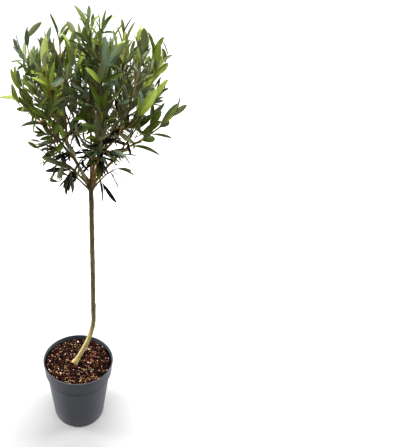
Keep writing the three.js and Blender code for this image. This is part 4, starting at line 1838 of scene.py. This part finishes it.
@dataclass
class CrownColours:
    """Deals tones out by spray by a painted-light score: high, outer and left-hand sprays get bright tones as
    if lit, and inner and low ones dark tones as painted shade; the brightest are also the real colour of
    young growth.

    The wood limits are, for each order of twig, the painted-light score from which it is tan and green; below
    them it is brown, partly painted shade and partly the older wood's own colour.
    """

    low: float = 500
    high: float = 750
    middle: Pair = (33, 8)
    reach: float = 140
    by_height: float = 0.7
    by_reach: float = 0.34
    by_side: float = 0.06
    flatness: float = 0.45
    seed: int = 77
    limits: tuple[tuple[float, Tone], ...] = (
        (0.97, Tone.BRIGHT),
        (0.75, Tone.FRESH),
        (0.53, Tone.GREEN),
        (0.29, Tone.GREY),
    )
    sage_chance: float = 0.12
    mood: float = 0.26
    least_mood: float = 0.3
    tip_gain: float = 0.08
    twig_mood: float = 0.2
    wood_limits: tuple[Pair, ...] = ((0.5, 0.95), (0.45, 0.72), (0.45, 0.72))

    def light(self, twig: Twig) -> float:
        """Works out the painted light on a twig's tip by its height, its reach and its side: higher, further
        out and further left counts as more lit.

        Args:
            twig: The twig.

        Returns:
            The light, mostly from 0 to 1.
        """
        x, y, z = twig.path.points[-1]
        across, deep = (x - self.middle[0]) / self.reach, (y - self.middle[1]) / self.reach
        height = (z - self.low) / (self.high - self.low)
        reach = self.by_reach * math.hypot(across, self.flatness * deep)
        # painted light: the fall of the lamps from above and from the left, put into the tone score
        return self.by_height * height + reach - self.by_side * across

    def deal(self, mass: Mass, dice: Dice) -> Array:
        """Gives the leaves of a mass their tones, one tone to each twig but its tip.

        Args:
            mass: The mass.
            dice: The dice for the moods of its twigs.

        Returns:
            The tone number of each leaf.
        """
        tones = []
        moods = [dice.spread(self.mood) for _ in mass.twigs]
        odd = [dice.roll() for _ in mass.twigs]
        for leaf in mass.leaves:
            light = self.light(mass.twigs[leaf.twig])
            gain = self.tip_gain if leaf.pair == 0 else 0
            score = light + moods[leaf.twig] * (self.least_mood + light) + gain
            # scores under every limit get the near-black painted-shade tone
            tone = next((tone for limit, tone in self.limits if score > limit), Tone.DEEP)
            if odd[leaf.twig] < self.sage_chance and tone in (Tone.GREEN, Tone.GREY):
                tone = Tone.SAGE
            tones.append(tone.value)
        return np.array(tones)


@dataclass
class Crown:
    """The crown as four pieces: leaves in three pieces by side, and all twigs in one.

    A mass goes to the side whose list has the start of its name, or else to the middle.
    """

    foliage: Foliage
    colours: CrownColours
    sides: tuple[tuple[str, tuple[str, ...]], ...] = (
        ("left", ("left",)),
        ("right", ("right", "lead_right", "front_right", "back_right")),
        ("middle", ("",)),
    )
    first_seed: int = 300
    leaf_crease: float = 50
    twig_crease: float = 60
    wood: tuple[tuple[str, str, str], ...] = (
        ("twig_brown", "8c7444", "705c38"),
        ("twig_tan", "b8965a", "a08a50"),
        ("twig_green", "8a9450", "9ba25e"),
    )

    def build(self, grower: Grower, effects: Effects) -> None:
        """Builds the four pieces.

        Args:
            grower: The grown masses.
            effects: The shared node groups.
        """
        finishes = [material for finish in LEAF_FINISHES for material in finish.materials(effects)]
        wood = [Bark(*look, low=look[1], speck_size=0.12).material(effects) for look in self.wood]
        dice = Dice(self.colours.seed)
        groups: dict[str, list[tuple[Mass, Array]]] = {side: [] for side, _ in self.sides}
        for mass in grower.masses:
            side = next(side for side, starts in self.sides if mass.bough.name.startswith(starts))
            groups[side].append((mass, self.colours.deal(mass, dice)))
        for number, (side, members) in enumerate(groups.items()):
            leaves = [leaf for mass, _ in members for leaf in mass.leaves]
            tones = np.concatenate([dealt for _, dealt in members])
            nodes = [f"foliage_{mass.bough.name}" for mass, _ in members]
            surface = self.foliage.blades(leaves, tones, self.first_seed + number)
            make_piece(f"leaves_{side}", surface, finishes, nodes, self.leaf_crease)
        parts = []
        for order in range(len(self.foliage.twig_sides)):
            twigs = [twig for mass in grower.masses for twig in mass.twigs if twig.order == order]
            # twig colour follows the painted-light score too: brown as if shaded, tan and green as if lit
            light = [self.colours.light(twig) + dice.spread(self.colours.twig_mood) for twig in twigs]
            finish = np.digitize(light, self.colours.wood_limits[order])
            parts.append(self.foliage.rods(twigs, order, finish, grower.twig.taper))
        make_piece("twigs", Surface.joined(parts), wood, (), self.twig_crease)


@dataclass
class Pot:
    """A turned nursery pot: collar, thin lip, faint rings, drain holes and foot notches."""

    height: float = 134
    rim_radius: float = 70
    base_radius: float = 52
    wall: float = 1.6
    floor: float = 2
    collar_height: float = 26
    collar_foot_radius: float = 67.5
    collar_step: float = 3.6
    collar_slope: float = 2.5
    lip_height: float = 2.4
    lip_proud: float = 0.8
    foot_round: float = 2.5
    foot_bevel: float = 1.2
    sides: int = 144
    merge_distance: float = 1e-6
    crease: float = 32
    ring_drops: tuple[float, ...] = (8.5, 11)
    ring_proud: float = 0.45
    ring_height: float = 1.6
    drain_holes: int = 6
    drain_radius: float = 4.5
    drain_circle: float = 34
    drain_reach: float = 4
    drain_start: float = 0.5
    notches: int = 6
    notch_radius: float = 3.5
    notch_reach: float = 4.8
    notch_start: float = 0.25
    hole_sides: int = 24

    def outer_radius(self, height: float) -> float:
        """Finds the outside radius of the body's straight taper.

        Args:
            height: The height.

        Returns:
            The radius there.
        """
        top = self.height - self.collar_height - self.collar_slope
        share = (height - self.foot_round) / (top - self.foot_round)
        return self.base_radius + (self.collar_foot_radius - self.collar_step - self.base_radius) * share

    def profile(self) -> Array:
        """Works out the profile from the floor inside, over the rim and down to the underside.

        Returns:
            The rounded profile, from corners that are each a radius, a height and a rounding.
        """
        collar_bottom = self.height - self.collar_height
        body_top = self.collar_foot_radius - self.collar_step
        lip_bottom = self.height - self.lip_height
        lip_radius = self.rim_radius - self.lip_proud
        corners = [
            (0, self.floor, 0),
            (self.base_radius - 2 * self.wall, self.floor, 0.8),
            (self.base_radius - self.wall, self.floor + self.wall, 0.8),
            (body_top - self.wall, collar_bottom + self.wall - self.collar_slope, 0.8),
            (self.collar_foot_radius - self.wall, collar_bottom + self.wall, 0.8),
            (lip_radius - self.wall, self.height, 0.4),
            (self.rim_radius, self.height, 0.7),
            (self.rim_radius, lip_bottom, 0.5),
            (lip_radius, lip_bottom, 0.25),
            (self.collar_foot_radius, collar_bottom, 1.0),
            (body_top, collar_bottom - self.collar_slope, 1.2),
        ]
        for drop in self.ring_drops:
            height = collar_bottom - drop + self.ring_height
            reach = self.outer_radius(height)
            foot = height - self.ring_height
            corners += [
                (reach, height, 0.3),
                (reach + self.ring_proud, height - self.ring_height / 2, 0.5),
                (self.outer_radius(foot), foot, 0.3),
            ]
        corners += [
            (self.base_radius, self.foot_round * 0.8, 1.6),
            (self.base_radius - self.foot_bevel, 0, 0.6),
            (0, 0, 0),
        ]
        return rounded(corners)

    def bar(self, radius: float, start: Sequence[float], end: Sequence[float]) -> Surface:
        """Makes a straight round bar, for a hole or a notch.

        Args:
            radius: Its radius.
            start: The middle of its first end.
            end: The middle of its other end.

        Returns:
            The closed bar.
        """
        points = np.array([[start, end]], float)
        way = unit(points[:, 1:] - points[:, :1])
        outward = spokes(np.repeat(way, 2, axis=1), self.hole_sides)
        return tubes(points[:, :, None] + outward * radius, points)

    def cutters(self) -> Surface:
        """Gathers the bars that cut the drain holes and the foot notches.

        Returns:
            One surface of them all.
        """
        bars = []
        for i in range(self.drain_holes):
            turn = (i + self.drain_start) / self.drain_holes * 2 * math.pi
            x, y = self.drain_circle * math.cos(turn), self.drain_circle * math.sin(turn)
            bars.append(self.bar(self.drain_radius, (x, y, -self.drain_reach), (x, y, self.drain_reach)))
        for i in range(self.notches):
            turn = (i + self.notch_start) / self.notches * 2 * math.pi
            ends = [
                (reach * math.cos(turn), reach * math.sin(turn), self.floor / 2)
                for reach in (self.base_radius - self.notch_reach, self.base_radius + self.notch_reach)
            ]
            bars.append(self.bar(self.notch_radius, *ends))
        return Surface.joined(bars)

    def build(self, finish: Material) -> bpy.types.Object:
        """Builds the pot, and cuts its holes and notches by one Boolean that is applied.

        Args:
            finish: Its plastic.

        Returns:
            The piece.
        """
        surface = turned(self.profile(), self.sides)
        piece = make_piece("nursery_pot", surface, [finish], ["pot"], self.crease)
        cutter = put("pot_cutters", make_mesh("pot_cutters", self.cutters()))
        cut = piece.modifiers.new("holes", "BOOLEAN")
        cut.operation, cut.solver, cut.object = "DIFFERENCE", "EXACT", cutter
        worked = piece.evaluated_get(bpy.context.evaluated_depsgraph_get())
        whole = bpy.data.meshes.new_from_object(worked)
        work = bmesh.new()
        work.from_mesh(whole)
        bmesh.ops.remove_doubles(work, verts=work.verts, dist=self.merge_distance)
        work.to_mesh(whole)
        work.free()
        piece.modifiers.clear()
        piece.data = whole
        whole.set_sharp_from_angle(angle=math.radians(self.crease))
        bpy.data.objects.remove(cutter)
        return piece


class Crumb(Enum):
    """The kinds of crumb in the mix."""

    DARK = "dark_bark"
    RUSTY = "rusty_bark"
    TAN = "tan_coir"
    PERLITE = "perlite"
    STRAW = "straw"


@dataclass(frozen=True)
class Bed:
    """The bed of the mix, with an uneven top that falls to the wall.

    The under rows are the radius and the height of each ring below the top's edge.
    """

    level: float = 127.5
    edge_drop: float = 1.6
    edge_power: float = 1.6
    flat_radius: float = 34
    radius: float = 66.4
    first_ring: float = 0.6
    rings: int = 60
    sides: int = 120
    lump: float = 0.8
    lump_size: float = 9
    fine_lump: float = 0.5
    fine_lump_size: float = 3.2
    seed: int = 5
    under: tuple[Pair, ...] = ((64.6, 109.0), (61.6, 104.0), (50.0, 6.0), (48.0, 2.4))

    def height(self, x: Array, y: Array) -> Array:
        """Works out the top's height: the level, less the fall to the wall, plus lumps.

        Args:
            x: Places from left to right.
            y: Places from front to back.

        Returns:
            The height at each place.
        """
        fall = reached(np.hypot(x, y), self.flat_radius, self.radius)
        place = np.stack([x, y, np.zeros_like(x)], axis=-1)
        fine = self.fine_lump * waves(place, self.fine_lump_size, self.seed + 1)
        lumps = waves(place, self.lump_size, self.seed) + fine
        return self.level - self.edge_drop * fall**self.edge_power + self.lump * lumps

    def surface(self) -> Surface:
        """Builds the bed as a turned body whose top follows the height.

        Returns:
            The closed surface.
        """
        under = np.array(self.under)
        reach = np.concatenate([np.linspace(self.first_ring, self.radius, self.rings), under[:, 0]])
        angle = -circle(self.sides)
        x, y = reach[:, None] * np.cos(angle), reach[:, None] * np.sin(angle)
        z = self.height(x, y)
        z[-len(under) :] = under[:, 1:]
        ends = np.array([[[0, 0, z[0].mean()], [0, 0, under[-1, 1]]]])
        return tubes(np.stack([x, y, z], axis=-1)[None], ends)


@dataclass(frozen=True)
class Crumbs:
    """One kind of rough crumb strewn over the bed.

    Its size is its least and greatest length, slim its breadth as a share of its length, flat
    its thickness as a share of its breadth, and proud how far it stands over the bed.
    """

    kind: Crumb
    count: int
    size: Pair
    slim: float
    seed: int
    flat: float = 0.5
    proud: float = 0.35
    rows: int = 4
    sides: int = 6
    edge_gap: float = 0.6
    variety: Pair = (0.7, 1.3)
    rough: Pair = (0.68, 1.2)
    steepness: float = 0.45
    tilt: float = 0.35
    last_ring: float = 0.86

    def surface(self, bed: Bed) -> Surface:
        """Strews the crumbs.

        A crumb is a ball squeezed to its own length, breadth and thickness, with each of its
        points moved in or out by up to a third, turned any way round and tilted a little.

        Args:
            bed: The bed that they lie on.

        Returns:
            The crumbs as one surface.
        """
        chance, count = np.random.default_rng(self.seed), self.count
        length = self.size[0] + (self.size[1] - self.size[0]) * chance.random(count) ** 2
        breadth = length * self.slim * chance.uniform(*self.variety, count)
        depth = breadth * self.flat * chance.uniform(*self.variety, count)
        reach = (bed.radius - self.edge_gap - length / 2) * np.sqrt(chance.random(count))
        turn = chance.uniform(0, 2 * math.pi, count)
        x, y = reach * np.cos(turn), reach * np.sin(turn)
        middle = np.stack([x, y, bed.height(x, y) + depth * self.proud], axis=-1)
        steep = chance.uniform(-self.steepness, self.steepness, count)
        along = unit(np.stack([np.cos(turn * 7), np.sin(turn * 7), steep], axis=-1))
        up = np.array([0, 0, 1.0]) + chance.normal(0, self.tilt, (count, 3))
        beside = unit(np.cross(up, along))
        over = np.cross(along, beside)
        t = np.linspace(-self.last_ring, self.last_ring, self.rows)[None, :, None]
        angle = circle(self.sides)[None, None, :]
        ring = np.sqrt(1 - t**2) * chance.uniform(*self.rough, (count, self.rows, self.sides))
        a = (ring * np.cos(angle) * breadth[:, None, None] / 2)[..., None] * beside[:, None, None]
        b = (ring * np.sin(angle) * depth[:, None, None] / 2)[..., None] * over[:, None, None]
        c = (t * length[:, None, None] / 2)[..., None] * along[:, None, None]
        ends = along[:, None] * (np.array([-0.5, 0.5])[None, :, None] * length[:, None, None])
        return tubes(middle[:, None, None] + c + a + b, middle[:, None] + ends)


@dataclass(frozen=True)
class Fibres:
    """Curved straw fibres strewn over the bed."""

    kind: Crumb = Crumb.STRAW
    count: int = 300
    size: Pair = (3, 11)
    girth: float = 0.3
    seed: int = 25
    rings: int = 8
    sides: int = 5
    edge_gap: float = 1
    bend: float = 0.25
    lift: Pair = (0.2, 1.6)
    slope: float = 1.4
    least_lift: float = 0.1
    variety: Pair = (0.6, 1.4)

    def surface(self, bed: Bed) -> Surface:
        """Strews the fibres.

        With s from -1 to 1 along a fibre, its point runs s times half its length along its
        aim, bend (1 - s^2) to the side, and lies over the bed by its lift plus s times its
        slope. Its radius halves towards both ends.

        Args:
            bed: The bed that they lie on.

        Returns:
            The fibres as one surface.
        """
        chance, count = np.random.default_rng(self.seed), self.count
        length = chance.uniform(*self.size, count)
        reach = (bed.radius - self.edge_gap - length / 2) * np.sqrt(chance.random(count))
        turn, aim = chance.uniform(0, 2 * math.pi, (2, count))
        s = np.linspace(-1, 1, self.rings)[None]
        bend = chance.uniform(-self.bend, self.bend, count)[:, None] * length[:, None]
        run, side = s * length[:, None] / 2, bend * (1 - s**2)
        ahead, beside = np.cos(aim)[:, None], np.sin(aim)[:, None]
        x = (reach * np.cos(turn))[:, None] + run * ahead - side * beside
        y = (reach * np.sin(turn))[:, None] + run * beside + side * ahead
        lift = chance.uniform(*self.lift, count)[:, None]
        lift = lift + s * chance.uniform(-self.slope, self.slope, count)[:, None]
        points = np.stack([x, y, bed.height(x, y) + np.maximum(lift, self.least_lift)], axis=-1)
        outward = spokes(unit(np.gradient(points, axis=1)), self.sides)
        radius = self.girth * chance.uniform(*self.variety, count)[:, None, None, None]
        radius = radius * (1 - 0.5 * np.abs(s))[..., None, None]
        return tubes(points[:, :, None] + outward * radius, points[:, [0, -1]])


@dataclass
class PottingMix:
    """The mix: an uneven bed with chips of bark and coir, perlite and straw fibres on it."""

    bed: Bed = Bed()
    bed_crease: float = 50
    crumb_crease: float = 28
    strewn: tuple[Crumbs | Fibres, ...] = (
        Crumbs(Crumb.DARK, 1300, (2.5, 9), slim=0.6, seed=21),
        Crumbs(Crumb.RUSTY, 620, (2.5, 9), slim=0.42, seed=22, proud=0.5),
        Crumbs(Crumb.TAN, 210, (2, 6.5), slim=0.36, seed=23, proud=0.7),
        Crumbs(Crumb.PERLITE, 40, (1.6, 3.4), slim=0.9, seed=24, flat=0.9, proud=0.8, rows=5, sides=7),
        Fibres(),
    )

    def build(self, effects: Effects) -> None:
        """Builds the bed and the crumbs, each kind as one piece in its own finish.

        Args:
            effects: The shared node groups.
        """
        rough = dict(roughness=0.85, scale=120, contrast=4, bump=0.5, bump_depth=0.0006, shine=0.2)
        coir = dict(rough, contrast=3, bump=0.4, bump_depth=0.0005, shine=0.3)
        dry = dict(roughness=0.8, bump_depth=0.0004)
        looks = {
            Crumb.DARK: ("140806", "30160f", rough),
            Crumb.RUSTY: ("431f18", "693b2f", rough),
            Crumb.TAN: ("a77c68", "dab6a2", coir),
            Crumb.STRAW: ("b89a68", "d9c493", dict(dry, scale=90, bump=0.3)),
            Crumb.PERLITE: ("e4e0d6", "f4f1ea", dict(dry, scale=200, bump=0.4)),
        }
        damp = dict(roughness=0.95, scale=160, contrast=3, bump=0.6, bump_depth=0.001, shine=0.15)
        soil = Finish("mix_bed", "0b0504", "1c0f0c", **damp).material(effects)
        make_piece("mix_bed", self.bed.surface(), [soil], ["potting_mix"], self.bed_crease)
        for strewn in self.strewn:
            name = f"mix_{strewn.kind.value}"
            base, tint, look = looks[strewn.kind]
            finish = Finish(name, base, tint, **look).material(effects)
            make_piece(name, strewn.surface(self.bed), [finish], (), self.crumb_crease)


# Floor, light and camera


@dataclass(frozen=True)
class Softbox:
    """A square studio light with a soft front. A spread under 180 degrees narrows its beam."""

    name: str
    place: Spot
    aim: Spot
    size: float
    power: float
    spread: float = 180.0

    def build(self) -> None:
        """Puts the light in its place and turns it to its aim."""
        lamp = bpy.data.lights.new(self.name, "AREA")
        lamp.shape, lamp.size, lamp.energy = "SQUARE", self.size, self.power
        lamp.spread = math.radians(self.spread)
        light = put(self.name, lamp)
        light.location = self.place
        x, y, z = np.array(self.place) - np.array(self.aim)
        light.rotation_euler = (math.atan2(math.hypot(x, y), z), 0, math.atan2(x, -y))


@dataclass
class Studio:
    """A pale floor, a white surround, soft lights, and the camera, all in metres.

    The camera has its focal length and the middle of its view in pixels of the frame.
    """

    floor_radius: float = 30.0
    floor_sides: int = 64
    floor_roughness: float = 0.9
    # the floor's glow is painted light; floor_fade and shade_centre place the unglowing zone where the cast
    # shadow shows
    floor_shade: float = 0.295
    floor_fade: Pair = (0.05, 0.56)
    shade_centre: Spot = (-0.018, -0.1, 0.0)
    camera_place: Spot = (0.0358, -0.6261, 0.7159)
    pitch: float = 23.871
    frame_width: int = 400
    frame_height: int = 447
    focal_pixels: float = 400
    centre_x: float = 96
    centre_y: float = 220
    sensor: float = 36
    clip: Pair = (0.01, 200)
    surround: float = 0.08
    seen: float = 1.0
    mirrored: float = 0.14
    lights: tuple[Softbox, ...] = (
        Softbox("key", (-0.42, -0.8, 2.0), (0.03, 0.0, 0.5), 1.7, 45),
        Softbox("fill", (1.1, -0.9, 1.3), (0.03, 0.0, 0.35), 1.2, 11),
        Softbox("top", (0.1, 0.3, 2.1), (0.03, 0.0, 0.5), 1.2, 25),
        Softbox("left_side", (-1.1, 0.25, 0.35), (0.0, 0.0, 0.08), 0.5, 1.7, 40),
        Softbox("right_side", (1.1, 0.3, 0.35), (0.0, 0.0, 0.08), 0.5, 1.45, 40),
    )

    def build_floor(self) -> None:
        """Lays the floor. Its glow, seen only by the camera, is painted light that is none round
        shade_centre, in front of the pot, and grows with distance, so the cast shadow shows only near there.
        """
        angle = circle(self.floor_sides)
        rim = np.stack([np.cos(angle), np.sin(angle), np.zeros(self.floor_sides)], axis=-1)
        mesh = bpy.data.meshes.new("floor")
        mesh.from_pydata(rim * self.floor_radius, [], [list(range(self.floor_sides))])
        floor = put("floor", mesh)
        material = bpy.data.materials.new("floor_white")
        material.use_nodes = True
        bench, shader = Bench(material.node_tree), material.node_tree.nodes["Principled BSDF"]
        shader.inputs["Base Color"].default_value = (*[self.floor_shade] * 3, 1)
        shader.inputs["Roughness"].default_value = self.floor_roughness
        shader.inputs["Emission Color"].default_value = (1, 1, 1, 1)
        places = {0: bench.get("TexCoord", {}, "Object"), 1: self.shade_centre}
        far = bench.get("VectorMath", places, "Value", operation="DISTANCE")
        near, end = self.floor_fade
        fade = bench.get("MapRange", {0: far, 1: near, 2: end})
        # painted light: glow for camera rays only, fading in round shade_centre
        glow = bench.sum("MULTIPLY", bench.get("LightPath", {}, "Is Camera Ray"), fade)
        bench.link(glow, shader, "Emission Strength")
        mesh.materials.append(material)

    def build_world(self) -> None:
        """Makes a white surround that lights softly and is seen pure white."""
        world = bpy.data.worlds.new("surround")
        bpy.context.scene.world = world
        world.use_nodes = True
        world.node_tree.nodes.clear()
        bench = Bench(world.node_tree)
        lit, seen = (
            bench.get("Background", {0: (1, 1, 1, 1), 1: strength}) for strength in (self.surround, self.seen)
        )
        rays = bench.add("LightPath").outputs
        mirrored = bench.sum("MULTIPLY", rays["Is Glossy Ray"], self.mirrored)
        shown = bench.sum("MAXIMUM", rays["Is Camera Ray"], mirrored)
        bench.add("OutputWorld", {0: bench.get("MixShader", {0: shown, 1: lit, 2: seen})})

    def build_camera(self) -> None:
        """Places the camera: its lens is the focal length in pixels over the frame's long side."""
        data = bpy.data.cameras.new("camera")
        data.sensor_width = self.sensor
        data.lens = self.focal_pixels / self.frame_height * self.sensor
        data.shift_x = (self.frame_width / 2 - self.centre_x) / self.frame_height
        data.shift_y = (self.centre_y - self.frame_height / 2) / self.frame_height
        data.clip_start, data.clip_end = self.clip
        camera = put("camera", data)
        camera.location = self.camera_place
        camera.rotation_euler = (math.radians(90 - self.pitch), 0, 0)
        bpy.context.scene.camera = camera

    def build(self) -> None:
        """Builds the floor, the surround, the lights and the camera."""
        self.build_floor()
        self.build_world()
        for light in self.lights:
            light.build()
        self.build_camera()
        view = bpy.context.scene.view_settings
        view.view_transform, view.look = "Standard", "High Contrast"


def main() -> None:
    """Builds every sub-assembly in order."""
    logging.basicConfig(level=logging.INFO, format="%(name)s %(message)s")
    effects = Effects()
    look = dict(roughness=0.3, scale=18, contrast=1.4, bump=0.12)
    plastic = MouldedPlastic("nursery_plastic", "404248", "4a4c52", **look)
    Pot().build(plastic.material(effects))
    PottingMix().build(effects)
    trunk = Trunk()
    grower = Grower(trunk)
    grower.grow()
    wood = WoodyFrame(trunk)
    look = dict(roughness=0.72, scale=30, contrast=2.5, bump=0.5, bump_depth=0.0005)
    bark = Bark("trunk_bark", "57523a", "6b6346", low="9a8c60", **look)
    look = dict(roughness=0.8, scale=80, bump=0.3, bump_depth=0.0004)
    cut = Finish("cut_wood", "c9a878", "b08a5c", **look)
    wood.build_trunk([bark.material(effects), cut.material(effects)])
    look = dict(roughness=0.7, scale=26, contrast=3, bump=0.45, bump_depth=0.0004, low_at=0.49, high_at=0.53)
    bark = Bark("bough_bark", "8a7446", "a88c58", low="7c6a42", **look)
    wood.build_boughs(grower, bark.material(effects))
    Crown(Foliage(), CrownColours()).build(grower, effects)
    Studio().build()


if __name__ == "__main__":
    main()
